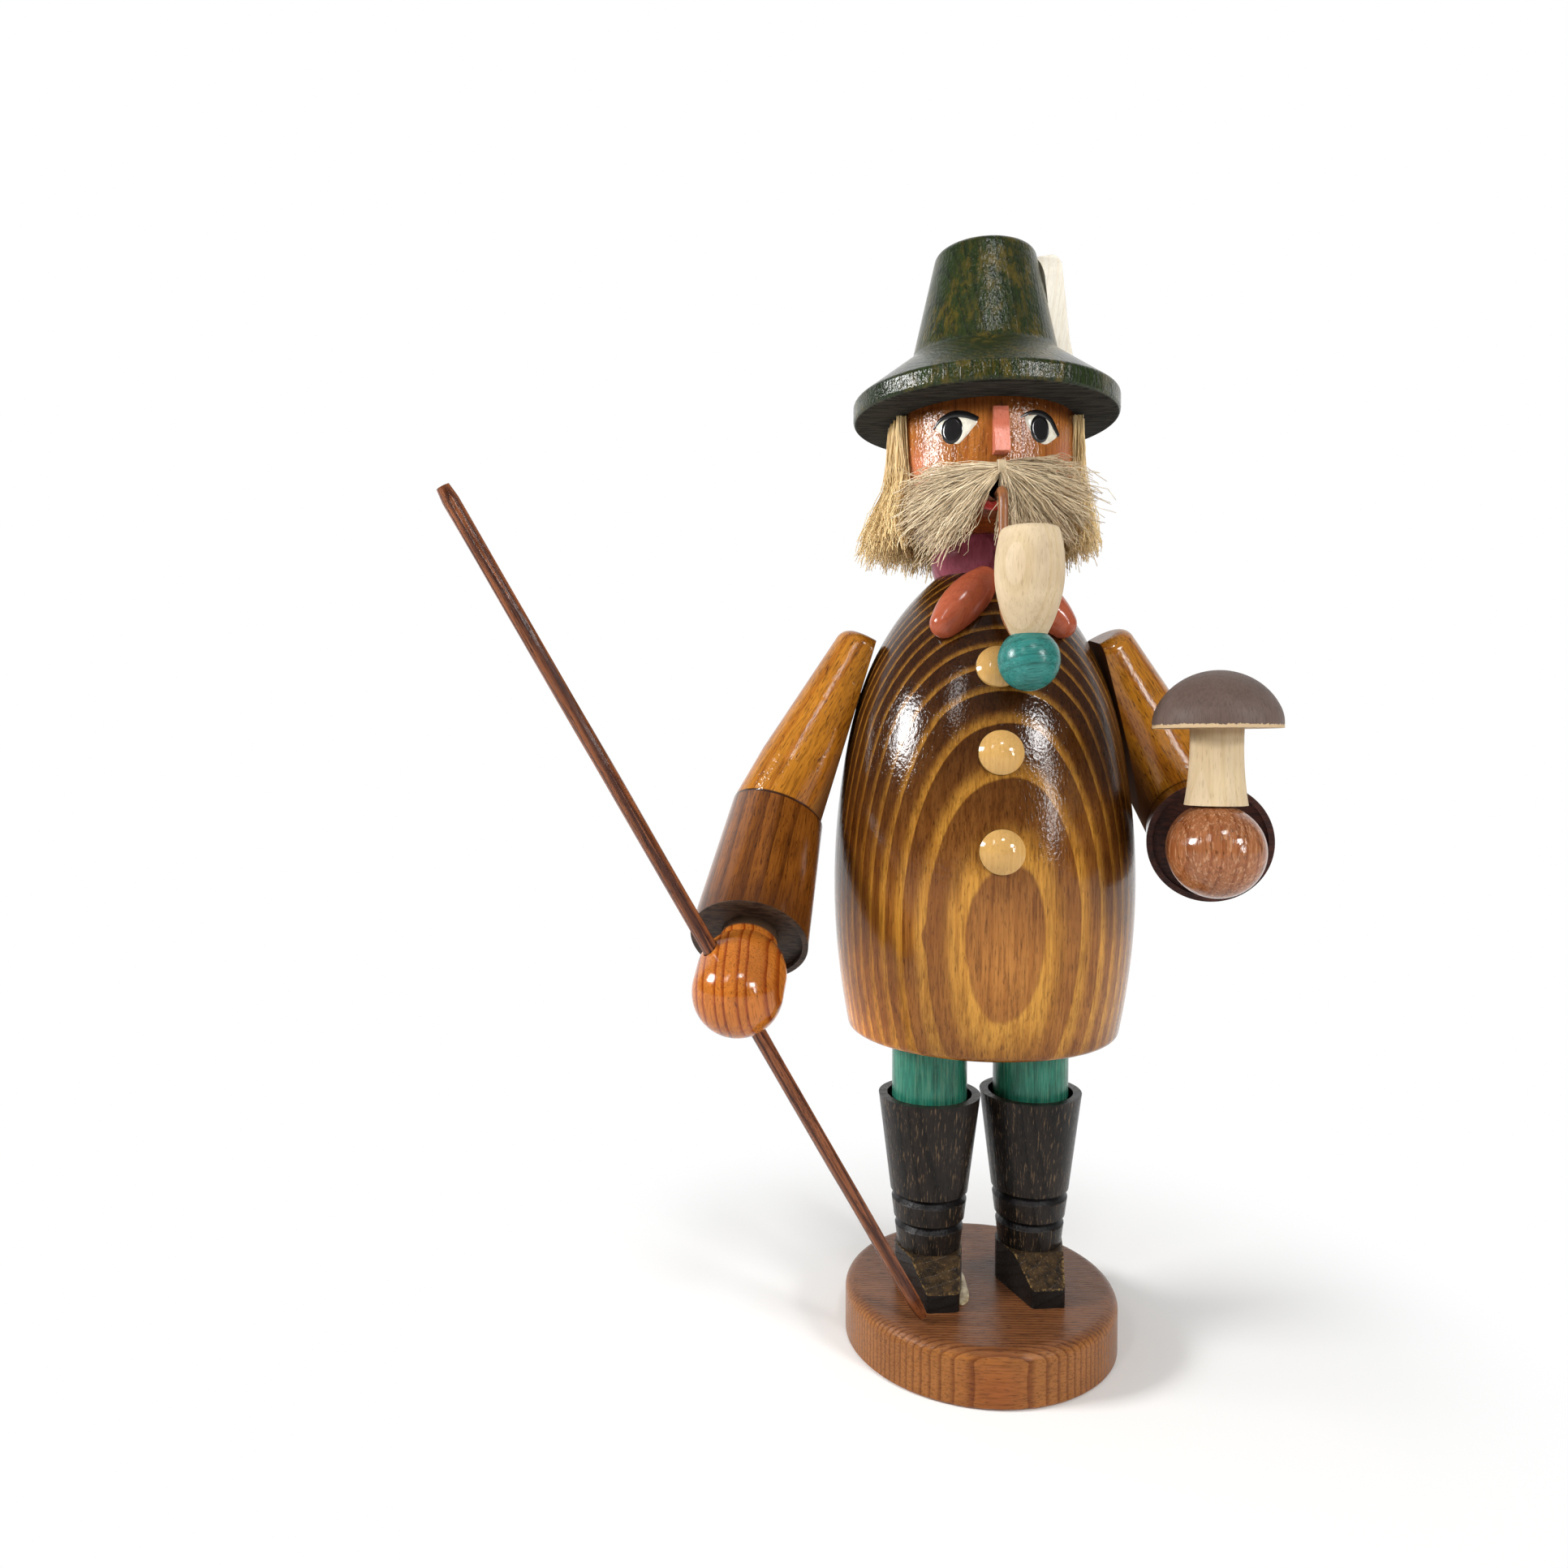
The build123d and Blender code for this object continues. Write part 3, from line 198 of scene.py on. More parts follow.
asked = tree.nodes.new("NodeGroupOutput").inputs


def noise(tree, spot, stretch, detail=2.0, rough=0.5):
    """Noise with so many waves to a unit along each axis."""
    spot = vector(tree, "MULTIPLY", spot, stretch)
    node = put(tree, "TexNoise", {"Vector": spot, "Scale": 1.0, "Detail": detail, "Roughness": rough})
    return node.outputs["Fac"]


stretched = vector(tree, "MULTIPLY", given["Vector"], (1, 1, 0.22))
waves = put(tree, "TexNoise", {"Vector": stretched, "Scale": calc(tree, "DIVIDE", 1.0, given["Wave Size"]),
                               "Detail": 2.0, "Roughness": 0.45}).outputs["Color"]
waves = scaled(tree, vector(tree, "SUBTRACT", waves, (0.5, 0.5, 0.5)), given["Waviness"])
bent = vector(tree, "MULTIPLY", vector(tree, "ADD", given["Vector"], waves), (1, 1, 0))
girth = length_of(tree, bent)
years = calc(tree, "DIVIDE", calc(tree, "ADD", girth, given["Swell"]), given["Ring Width"])
uneven = put(tree, "TexNoise", {"W": times(tree, years, 0.6), "Scale": 1.0, "Detail": 0.0},
             noise_dimensions="1D").outputs["Fac"]
years = calc(tree, "MULTIPLY_ADD", uneven, given["Unevenness"], calc(tree, "ADD", years, given["Ring Shift"]))
season = calc(tree, "FRACT", years)
late = step(tree, season, given["Late From"], given["Late Full"])
tree.links.new(times(tree, late, step(tree, season, 1.0, 0.95)), asked["Latewood"])
tree.links.new(noise(tree, given["Vector"], (3.2, 3.2, 0.16), 5.0, 0.65), asked["Fibre"])
pores = noise(tree, given["Vector"], (4.6, 4.6, 0.55), 1.0)
tree.links.new(step(tree, pores, 0.60, 0.72), asked["Pore"])
tree.links.new(noise(tree, given["Vector"], (0.14, 0.14, 0.14), 3.0), asked["Cloud"])
tree.links.new(noise(tree, given["Vector"], (2.0, 2.0, 1.6), 2.0), asked["Peel"])


def stain(tree, amount, colour, shade):
    """A colour multiplied by a shade."""
    return tint(tree, amount, colour, (*shade, 1), "MULTIPLY")


def emboss(tree, skin, height, depth):
    """Bumps a surface, by a depth in millimetres where the height is 1, over any bump that it has."""
    bump = put(tree, "Bump", {"Height": height, "Strength": 1.0, "Distance": depth * MM})
    for link in skin.inputs["Normal"].links:
        tree.links.new(link.from_socket, bump.inputs["Normal"])
    tree.links.new(bump.outputs["Normal"], skin.inputs["Normal"])


def wood(name, pith, along, ring_width, early, late, shift=0.0, uneven=1.0, waves=(0.8, 9.0),
         season=(0.45, 0.9), streak=0.35, pore=0.3, cloud=0.3, gloss=0.2, relief=0.03, peel=0.008, shine=0.3):
    """Wood cut from a trunk whose pith passes through a point in millimetres. Relief is the depth of the
    grain and peel that of the lacquer's ripple. Returns the material, its tree, its surface node, its
    colour and its grain, for stain and paint to be added."""
    material, tree, skin = blank(name)
    skin.inputs["Specular IOR Level"].default_value = shine
    turn = Vector(along).to_track_quat("Z", "Y").to_euler()
    place = put(tree, "Mapping", {"Vector": here(tree), "Location": Vector(pith) * MM,
                                  "Rotation": turn, "Scale": (MM, MM, MM)}, vector_type="TEXTURE").outputs[0]
    mark = put(tree, "Group", {
        "Vector": place, "Ring Width": ring_width, "Ring Shift": shift, "Unevenness": uneven, "Swell": 0.0,
        "Waviness": waves[0], "Wave Size": waves[1], "Late From": season[0], "Late Full": season[1],
    }, node_tree=RING_GRAIN).outputs
    colour = tint(tree, mark["Latewood"], (*early, 1), (*late, 1))
    thread = times(tree, step(tree, mark["Fibre"], 0.42, 0.68), streak)
    colour = stain(tree, thread, colour, (0.28, 0.22, 0.17))
    colour = stain(tree, times(tree, mark["Pore"], pore), colour, (0.22, 0.16, 0.12))
    clouded = times(tree, step(tree, mark["Cloud"], 0.4, 0.65), cloud)
    colour = stain(tree, clouded, colour, (0.55, 0.48, 0.42))
    paint(tree, skin, colour)
    tree.links.new(calc(tree, "MULTIPLY_ADD", mark["Fibre"], 0.08, gloss - 0.04), skin.inputs["Roughness"])
    ridge = calc(tree, "MULTIPLY_ADD", mark["Latewood"], 0.45, times(tree, mark["Fibre"], 0.8))
    ridge = calc(tree, "SUBTRACT", ridge, times(tree, mark["Pore"], 0.5))
    ridge = calc(tree, "MULTIPLY_ADD", ridge, relief, times(tree, mark["Peel"], peel))
    emboss(tree, skin, ridge, 1.0)
    return material, tree, skin, colour, mark


def trunk_place(mark):
    """The place in the trunk, in millimetres, that a wood's grain is worked out from."""
    return mark["Pore"].node.inputs["Vector"].links[0].from_socket


def dress(material, *names):
    for name in names:
        nodes[name].data.materials.clear()
        nodes[name].data.materials.append(material)


def dull(tree, skin, where, amount):
    """Takes the gloss off part of a surface."""
    gloss = skin.inputs["Roughness"].links[0].from_socket
    tree.links.new(calc(tree, "MULTIPLY_ADD", where, amount, gloss), skin.inputs["Roughness"])


def axis_of(tree, axis):
    """One object coordinate, in millimetres."""
    spot = here(tree)
    return times(tree, put(tree, "SeparateXYZ", {0: spot}).outputs[axis], 1 / MM)


def normal_along(tree, axis):
    """How squarely the surface faces along an axis."""
    return put(tree, "SeparateXYZ", {0: put(tree, "NewGeometry").outputs["Normal"]}).outputs[axis]


def beyond(tree, point, way):
    """How far a place lies past a point along a way, in millimetres."""
    spot = here(tree)
    offset = vector(tree, "SUBTRACT", spot, Vector(point) * MM)
    way = Vector(way).normalized() * (1 / MM)
    return put(tree, "VectorMath", {0: offset, 1: way}, operation="DOT_PRODUCT").outputs["Value"]


def near(tree, point, radius, stretch=(1, 1, 1)):
    """1 at a point in millimetres, fading to 0 a radius away."""
    spot = here(tree)
    offset = vector(tree, "MULTIPLY", vector(tree, "SUBTRACT", spot, Vector(point) * MM), stretch)
    far = length_of(tree, offset)
    return step(tree, far, radius * MM, 0.0)


material, tree, skin, colour, mark = wood(
    "base_pine", (0, 300, 5), (1, 0.03, 0), 0.75, (0.32, 0.122, 0.030), (0.19, 0.060, 0.014), shift=0.82,
    uneven=0.0, waves=(0.4, 14.0), season=(0.5, 0.95), streak=0.45, pore=0.5, relief=0.11, gloss=0.24,
    shine=0.18)
up = normal_along(tree, "Z")
colour = stain(tree, step(tree, up, 0.4, 0.9), colour, (0.66, 0.66, 0.95))
heart = times(tree, near(tree, (0, -25, 3), 9), 0.8)
paint(tree, skin, stain(tree, heart, colour, (0.85, 0.62, 0.55)))
dress(material, "base_plate")

# Glue: a thin pale run of wood glue that was squeezed out when the right shoe was set down, and left to
# dry on the base along the inside of it.
glue, tree, skin = blank("dried_glue")
place = here(tree)
crust = put(tree, "TexNoise", {"Vector": place, "Scale": 900.0, "Detail": 4.0}).outputs["Fac"]
paint(tree, skin, tint(tree, step(tree, crust, 0.35, 0.65), (0.34, 0.25, 0.13, 1), (0.62, 0.52, 0.33, 1)))
skin.inputs["Roughness"].default_value = 0.35
emboss(tree, skin, crust, 0.12)
chance = Random(4)
BASE_TOP = 9.5
run = [(-3.2, 2.6, 0.3), (-3.0, 0.4, 0.5), (-3.0, -1.8, 0.6), (-3.3, -4.2, 0.9), (-3.6, -6.4, 1.35),
       (-3.9, -8.4, 1.0), (-4.2, -9.6, 0.4)]
bead = ((-1.0, -0.05), (-0.7, 0.14), (0.0, 0.22), (0.75, 0.12), (1.0, -0.05))
points = []
for x, y, half_width in run:
    for across, lift in bead:
        points.append((x + across * half_width * chance.uniform(0.8, 1.2), y + chance.uniform(-0.3, 0.3),
                       BASE_TOP + lift))
wide = len(bead)
starts = range(0, len(points) - wide, wide)
faces = [(at + wide, at + wide + 1, at + 1, at) for start in starts for at in range(start, start + wide - 1)]
faces += [tuple(range(wide)), tuple(range(len(points) - wide, len(points)))[::-1]]
faces += [(start, start + wide - 1, start + 2 * wide - 1, start + wide) for start in starts]
glue_run = plain_mesh("glue_run", points, faces, glue)
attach(glue_run, "stand")

# Shoes and boots: the shoes are sawn wedges, black at the sole with the stain rubbed thin on top and
# lighter golden patches along the edges of the top; the boots are turned in open-pored wood that shows
# pale dashes through the stain.
HEEL_HALF_WIDTH, NARROWING, TOE_REACH = 6.0, 0.2857, 11.2
for side, spot in (("right", (-9.06, -1.27, BASE_TOP)), ("left", (9.06, 1.27, BASE_TOP))):
    material, tree, skin, colour, mark = wood(
        "shoe_stain_" + side, (-20, 20, 60), (0, 1, -0.3), 1.8, (0.012, 0.010, 0.009), (0.008, 0.007, 0.006),
        gloss=0.3, relief=0.08, shine=0.2)
    top = step(tree, normal_along(tree, "Z"), 0.3, 0.6)
    grown = trunk_place(mark)
    worn = times(tree, top, step(tree, noise(tree, grown, (0.7, 0.7, 0.5), 4.0, 0.65), 0.30, 0.72))
    colour = tint(tree, worn, colour, (0.058, 0.034, 0.014, 1))
    worn = times(tree, top, step(tree, noise(tree, grown, (3.0, 3.0, 0.7), 3.0, 0.6), 0.58, 0.70))
    colour = tint(tree, times(tree, worn, 0.6), colour, (0.20, 0.125, 0.055, 1))
    ahead = beyond(tree, spot, (0.1392, -0.9903, 0))
    aside = calc(tree, "ABSOLUTE", beyond(tree, spot, (0.9903, 0.1392, 0)))
    edge = calc(tree, "SUBTRACT", calc(tree, "MULTIPLY_ADD", ahead, -NARROWING, HEEL_HALF_WIDTH), aside)
    edge = calc(tree, "MINIMUM", edge, calc(tree, "SUBTRACT", TOE_REACH, ahead))
    # Lighter golden patches along the edges of the top.
    top_edge_patches = times(tree, step(tree, edge, 0.5, 0.1), step(tree, mark["Peel"], 0.48, 0.64))
    paint(tree, skin, tint(tree, times(tree, top_edge_patches, top), colour, (0.22, 0.135, 0.05, 1)))
    dress(material, "shoe_" + side)
material, tree, skin, colour, mark = wood(
    "boot_stain", (-30, 40, 0), (0.02, 0, 1), 2.4, (0.018, 0.0135, 0.011), (0.009, 0.0072, 0.006),
    waves=(2.0, 16.0), streak=0.5, pore=0.0, gloss=0.24, relief=0.10, shine=0.18)
grown = trunk_place(mark)
dashes = times(tree, step(tree, noise(tree, grown, (3.4, 3.4, 0.18), 3.0, 0.65), 0.56, 0.70), 0.8)
colour = tint(tree, dashes, colour, (0.155, 0.098, 0.052, 1))
high = axis_of(tree, "Z")
for groove in (20.9, 25.7):
    wet = calc(tree, "ABSOLUTE", calc(tree, "SUBTRACT", high, groove))
    colour = tint(tree, step(tree, wet, 0.9, 0.5), colour, (0.006, 0.005, 0.005, 1))
paint(tree, skin, colour)
dress(material, "boot_right", "boot_left")

# Trouser legs: short lengths of round stick, stained sea green and lacquered; the stain leaves the
# grain showing in paler streaks.
material, tree, skin, colour, mark = wood(
    "trouser_stain", (25, 30, 0), (0, 0, 1), 1.1, (0.024, 0.200, 0.135), (0.016, 0.140, 0.095), streak=0.6,
    gloss=0.22)
colour = tint(tree, times(tree, step(tree, mark["Fibre"], 0.5, 0.3), 0.5), colour, (0.17, 0.26, 0.16, 1))
paint(tree, skin, colour)
dress(material, "trouser_leg_right", "trouser_leg_left")

# Waist plug, dowels, burner dish and nails: bare turned wood under the coat, scorched towards the
# dish, and a dish pressed from tinned sheet that is browned by smoke, held by two wire nails.
material, tree, skin, colour, mark = wood(
    "bare_wood", (30, 60, 0), (0, 0, 1), 1.6, (0.62, 0.43, 0.24), (0.48, 0.29, 0.13), gloss=0.6)
scorch = times(tree, step(tree, axis_of(tree, "Z"), 60, 66.5), step(tree, mark["Cloud"], 0.25, 0.6))
paint(tree, skin, tint(tree, scorch, colour, (0.10, 0.055, 0.03, 1)))
dress(material, "waist_plug", "foot_dowels", "shoulder_dowels", "elbow_dowels")

tin, tree, skin = blank("smoked_tin")
skin.inputs["Metallic"].default_value = 1.0
place = here(tree)
soot = noise(tree, place, (180, 180, 180), 5.0, 0.6)
middle = near(tree, (0, 0, 66), 13)
soot = calc(tree, "MULTIPLY_ADD", middle, 0.45, times(tree, step(tree, soot, 0.4, 0.7), 0.6))
paint(tree, skin, tint(tree, soot, (0.62, 0.59, 0.54, 1), (0.16, 0.11, 0.07, 1)))
tree.links.new(calc(tree, "MULTIPLY_ADD", soot, 0.4, 0.32), skin.inputs["Roughness"])
dress(tin, "burner_plate", "burner_nails")

# Coat: one hollow turning, stained so that the soft spring wood drinks up the brown and the hard
# lines between stay golden, shaded darker towards the neck by hand and finished in gloss lacquer. The
# arms' shadows are painted on both sides of it, and a pool of light on its lower left.
material, tree, skin, colour, mark = wood(
    "coat_stain", (-3.4, 150, 76), (0, -0.045, 1), 1.95, (0.26, 0.098, 0.020), (0.53, 0.250, 0.038),
    shift=0.15, uneven=0.0, waves=(0.9, 20.0), season=(0.52, 0.93), streak=0.6, pore=0.55, cloud=0.25,
    gloss=0.09, relief=0.012, peel=0.045, shine=0.27)
grain = mark["Latewood"].node
knot = times(tree, near(tree, (-12.4, -22.8, 75.0), 3.0, (1, 1, 0.9)), 0.32)
high = axis_of(tree, "Z")
closer = times(tree, calc(tree, "MAXIMUM", calc(tree, "SUBTRACT", high, 110.0), 0.0), -0.10)
longer = times(tree, calc(tree, "MAXIMUM", calc(tree, "SUBTRACT", 70.0, high), 0.0), 0.025)
tree.links.new(calc(tree, "ADD", knot, calc(tree, "ADD", closer, longer)), grain.inputs["Swell"])
tree.links.new(calc(tree, "MULTIPLY_ADD", step(tree, high, 78, 106), 0.24, 0.33), grain.inputs["Late From"])
streaks = noise(tree, trunk_place(mark), (0.9, 0.9, 0.03), 3.0, 0.6)
streaks = times(tree, step(tree, streaks, 0.42, 0.62), 0.6)
colour = stain(tree, streaks, colour, (0.62, 0.50, 0.40))
pale = near(tree, (0.6, -26, 73), 11, (1, 1, 0.7))
colour = stain(tree, pale, colour, (1.48, 1.58, 1.72))
worn = times(tree, step(tree, high, 86, 62), calc(tree, "SUBTRACT", 1.0, mark["Latewood"]))
colour = stain(tree, worn, colour, (1.26, 1.30, 1.18))
shade = times(tree, step(tree, high, 72, 116), calc(tree, "MULTIPLY_ADD", mark["Latewood"], -0.45, 1.0))
colour = stain(tree, shade, colour, (0.15, 0.13, 0.15))
# Painted shadow: the coat darkened on both sides under the arms, where the arms' shadows fall.
for x in (-23, 24):
    painted_arm_shadow = times(tree, near(tree, (x, -11, 93), 19, (1, 1, 0.75)), 0.85 if x < 0 else 0.55)
    colour = stain(tree, painted_arm_shadow, colour, (0.30, 0.22, 0.18))
# Painted light: a pool of light painted on the lower left of the coat, below the arm's shadow.
lit = times(tree, near(tree, (-23, -12, 59), 19, (1, 1, 0.65)), 0.9)
colour = stain(tree, lit, colour, (1.75, 1.42, 0.9))
foot = times(tree, step(tree, high, 62, 53), step(tree, axis_of(tree, "X"), -14.0, 4.0))
colour = stain(tree, foot, colour, (0.62, 0.56, 0.60))
paint(tree, skin, colour)
dress(material, "coat")

# Buttons: three domed discs of pale wood in clear lacquer, one below the other, each pegged into a
# spot-faced seat on the coat.
material, tree, skin, colour, mark = wood(
    "button_lacquer", (120, -20, 100), (0.02, -0.3, 1), 0.9, (0.55, 0.325, 0.105), (0.53, 0.305, 0.092),
    streak=0.15, pore=0.2, cloud=0.15, gloss=0.08, relief=0.006, peel=0.004, shine=0.4)
dress(material, "button_top", "button_middle", "button_bottom")

# Arms: each is one tapered sleeve turned in one piece, sawn across at the elbow and glued again with
# the lower half turned round. The upper halves are amber, the forearms darker, the cuffs nearly black.
for side, pith, upper, lower, saw, cuff in (
        ("right", (-90, 34, 100), (-0.474, -0.083, -0.876), (-0.10279, -0.76025, -0.64145),
         (-36.052, -1.949, 92.830), (-39.095, -23.787, 74.245)),
        ("left", (90, 40, 100), (0.515, 0.204, -0.834), (-0.21956, -0.97429, -0.05059),
         (38.395, 5.344, 91.586), (32.859, -20.149, 89.879))):
    seam = (Vector(upper) + Vector(lower)).normalized()
    material, tree, skin, colour, mark = wood(
        "sleeve_amber_" + side, pith, upper, 3.4, (0.43, 0.165, 0.014), (0.36, 0.120, 0.009), streak=0.7,
        pore=0.9, gloss=0.10, relief=0.015, peel=0.035, shine=0.42)
    gap = step(tree, calc(tree, "ABSOLUTE", beyond(tree, saw, seam)), 0.34, 0.1)
    colour = tint(tree, gap, colour, (0.035, 0.012, 0.004, 1))
    # Painted shade: the sawn flats that face the coat are painted dark, for the shade between arm and coat.
    facing = normal_along(tree, "X")
    sawn = step(tree, facing, 0.45, 0.75) if side == "right" else step(tree, facing, -0.45, -0.75)
    paint(tree, skin, tint(tree, times(tree, sawn, 0.9), colour, (0.13, 0.044, 0.007, 1)))
    dull(tree, skin, sawn, 0.85)
    dress(material, "upper_arm_" + side)
    material, tree, skin, colour, mark = wood(
        "sleeve_brown_" + side, pith, lower, 3.0, (0.22, 0.070, 0.009), (0.115, 0.034, 0.005),
        waves=(2.0, 9.0), streak=0.7, pore=0.8, gloss=0.10, relief=0.02, peel=0.012)
    gap = step(tree, calc(tree, "ABSOLUTE", beyond(tree, saw, seam)), 0.34, 0.1)
    colour = tint(tree, gap, colour, (0.03, 0.010, 0.004, 1))
    end = beyond(tree, cuff, lower)
    colour = tint(tree, times(tree, step(tree, end, -9.0, -0.5), 0.55), colour, (0.045, 0.013, 0.005, 1))
    end_grain = (0.062, 0.036, 0.021, 1) if side == "right" else (0.052, 0.012, 0.006, 1)
    sawn = step(tree, end, -0.25, -0.05)
    colour = tint(tree, sawn, colour, end_grain)
    spot = here(tree)
    offset = vector(tree, "CROSS_PRODUCT", vector(tree, "SUBTRACT", spot, Vector(cuff) * MM),
                    Vector(lower).normalized() * (1 / MM))
    inside = length_of(tree, offset)
    inside = calc(tree, "SUBTRACT", calc(tree, "MULTIPLY_ADD", end, 0.04, 9.4), inside)
    cup = times(tree, step(tree, inside, 0.2, 0.4), step(tree, end, -8.6, -8.0))
    colour = tint(tree, cup, colour, end_grain)
    sawn = calc(tree, "MAXIMUM", sawn, cup)
    lines = noise(tree, here(tree), (500, 500, 2600), 3.0, 0.6)
    lines = times(tree, sawn, step(tree, lines, 0.4, 0.62))
    paint(tree, skin, stain(tree, lines, colour, (0.35, 0.30, 0.30)))
    dull(tree, skin, sawn, 0.4)
    dress(material, "forearm_" + side)

    # Hands: round-ended pegs set in the cuffs, in striped orange-brown softwood under thick lacquer. What
    # stands inside a cuff is painted as dark as the cuff's end, for the glue there and for the shade in the
    # cup.
    pith, along, early, late = {
        "right": ((-150, -25, 69), (-0.12, -0.35, 1), (0.50, 0.155, 0.022), (0.27, 0.048, 0.004)),
        "left": ((140, -28, 89), (0.05, 0.2, 1), (0.31, 0.115, 0.044), (0.23, 0.070, 0.022))}[side]
    material, tree, skin, colour, mark = wood(
        "hand_lacquer_" + side, pith, along, 1.75, early, late, season=(0.5, 0.9), streak=0.45, pore=0.7,
        gloss=0.08, relief=0.012, peel=0.008 if side == "right" else 0.03, shine=0.4)
    if side == "left":
        grown = trunk_place(mark)
        flecks = step(tree, noise(tree, grown, (2.6, 2.6, 0.5), 3.0, 0.6), 0.52, 0.66)
        colour = tint(tree, times(tree, flecks, 0.55), colour, (0.52, 0.29, 0.16, 1))
    # Partly painted shade: darkened inside the cuff, for the glue there and for the shade in the cup.
    sunk = step(tree, beyond(tree, cuff, lower), 0.6, 0.1)
    paint(tree, skin, tint(tree, sunk, colour, end_grain))
    dress(material, "hand_" + side)

# Mushroom: a waisted stem of bare pale wood with a painted shadow where it meets the cap, and a cap
# dipped in matt grey-brown paint down to its rim.
material, tree, skin, colour, mark = wood(
    "bare_maple", (90, 20, 0), (0, 0.05, 1), 1.3, (0.58, 0.455, 0.290), (0.55, 0.42, 0.25), streak=0.14,
    pore=0.25, cloud=0.15, gloss=0.55, shine=0.2)
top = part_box("mushroom_cap")[0][2] / MM
# Painted shadow: the stem darkened just under the cap's rim.
painted_cap_shadow = times(tree, step(tree, axis_of(tree, "Z"), top - 1.6, top - 0.4), 0.6)
paint(tree, skin, stain(tree, painted_cap_shadow, colour, (0.62, 0.50, 0.42)))
dress(material, "mushroom_stem")
material, tree, skin, colour, mark = wood(
    "cap_paint", (60, 20, 0), (0, 0.05, 1), 1.3, (0.125, 0.087, 0.073), (0.120, 0.083, 0.070), streak=0.3,
    pore=0.25, gloss=0.5, relief=0.05, shine=0.2)
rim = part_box("mushroom_cap")[0][2] / MM
bare = calc(tree, "MULTIPLY_ADD", mark["Peel"], 0.7, axis_of(tree, "Z"))
paint(tree, skin, tint(tree, step(tree, bare, rim + 0.90, rim + 0.76), colour, (0.50, 0.36, 0.21, 1)))
dress(material, "mushroom_cap")

# Walking staff: a split stick whittled to uneven flats and stained brown, standing loose in the right
# fist with its foot in front of the right shoe.
STAFF_WAY = (-0.448409, -0.221945, 0.865835)
STAFF_LENGTH, STAFF_RADIUS, FLAT_REACH = 149.6, 1.235, 1.13
staff, tree, skin, colour, mark = wood(
    "staff_stain", (-60, 30, 60), STAFF_WAY, 0.9, (0.25, 0.080, 0.028), (0.072, 0.020, 0.009), streak=0.85,
    pore=0.7, gloss=0.24, relief=0.06)
foot = Vector((-11.0843, -14.9974, 10.3754))
way = Vector(STAFF_WAY).normalized()
across = way.cross(Vector((0, 0, 1))).normalized()
over = across.cross(way)
chance = Random(11)
flat_count, rows, around = 7, 76, 14
flats = []
for i in range(flat_count):
    flats.append((2 * pi * i / flat_count + chance.uniform(-0.2, 0.2), chance.uniform(0, 6),
                  chance.uniform(0, 6)))
points = []
for row in range(rows):
    far = STAFF_LENGTH * row / (rows - 1)
    taper = min(1.0, 0.72 + 0.28 * far / 3, 0.8 + 0.2 * (STAFF_LENGTH - far) / 1.5)
    for i in range(around):
        turn = 2 * pi * i / around
        reach = STAFF_RADIUS
        for facing, slow, quick in flats:
            flat = FLAT_REACH + 0.055 * sin(far / 17 + slow) + 0.05 * sin(far / 6.3 + quick)
            lean = cos(turn - facing)
            if lean > 0.2:
                reach = min(reach, flat / lean)
        reach *= taper
        points.append(foot + way * far + across * reach * cos(turn) + over * reach * sin(turn))


def tube_faces(rows, around):
    """Quads between rings of points that follow each other."""
    faces = []
    for row in range(0, (rows - 1) * around, around):
        for i in range(around):
            j = (i + 1) % around
            faces.append((row + i, row + j, row + around + j, row + around + i))
    return faces


faces = tube_faces(rows, around)
faces += [tuple(range(around))[::-1], tuple(range((rows - 1) * around, rows * around))]
whittled = plain_mesh("staff_whittled", points, faces, staff, smooth=False)
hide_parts("walking_staff")
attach(whittled, "staff")

# Neck collar and neckerchief: a maroon ring between coat and head, and two turned drops, brick red,
# that lie on the coat below it.
material, tree, skin, colour, mark = wood(
    "collar_stain", (20, 30, 0), (0, 0, 1), 1.2, (0.35, 0.080, 0.125), (0.26, 0.052, 0.080), cloud=0.6,
    gloss=0.3, shine=0.15)
dress(material, "neck_collar")
material, tree, skin, colour, mark = wood(
    "neckerchief_stain", (0, 90, 120), (0.6, -0.3, 0.7), 1.4, (0.41, 0.098, 0.046), (0.38, 0.087, 0.040),
    streak=0.25, pore=0.25, gloss=0.13, relief=0.012)
dress(material, "neckerchief_end_right", "neckerchief_end_left")

# Head and nose: a turned head in clear lacquer over straight-grained wood with rouged cheeks and a
# painted shadow under the brim, and a carved nose painted salmon.
material, tree, skin, colour, mark = wood(
    "face_lacquer", (1, 60, 150), (0, 0, 1), 0.8, (0.41, 0.140, 0.025), (0.32, 0.095, 0.016), streak=0.5,
    pore=0.5, gloss=0.10, relief=0.03, peel=0.13, shine=0.38)
for x in (-12.2, 12.4):
    rouge = times(tree, near(tree, (x, -9.2, 151.0), 6.5), 0.55)
    colour = tint(tree, rouge, colour, (0.66, 0.20, 0.10, 1))
high = axis_of(tree, "Z")
chin = times(tree, step(tree, high, 146.0, 143.5), 0.8)
colour = stain(tree, chin, colour, (0.45, 0.24, 0.22))
# Painted shadow: the top of the head darkened under the hat's brim.
painted_brim_shadow = times(tree, step(tree, high, 157.2, 160.5), 0.85)
colour = stain(tree, painted_brim_shadow, colour, (0.16, 0.10, 0.08))
paint(tree, skin, colour)
dress(material, "head")
material, tree, skin, colour, mark = wood(
    "nose_paint", (0, 80, 150), (0, 0, 1), 0.8, (0.63, 0.190, 0.120), (0.58, 0.165, 0.100), streak=0.15,
    gloss=0.2, shine=0.2)
dress(material, "nose")

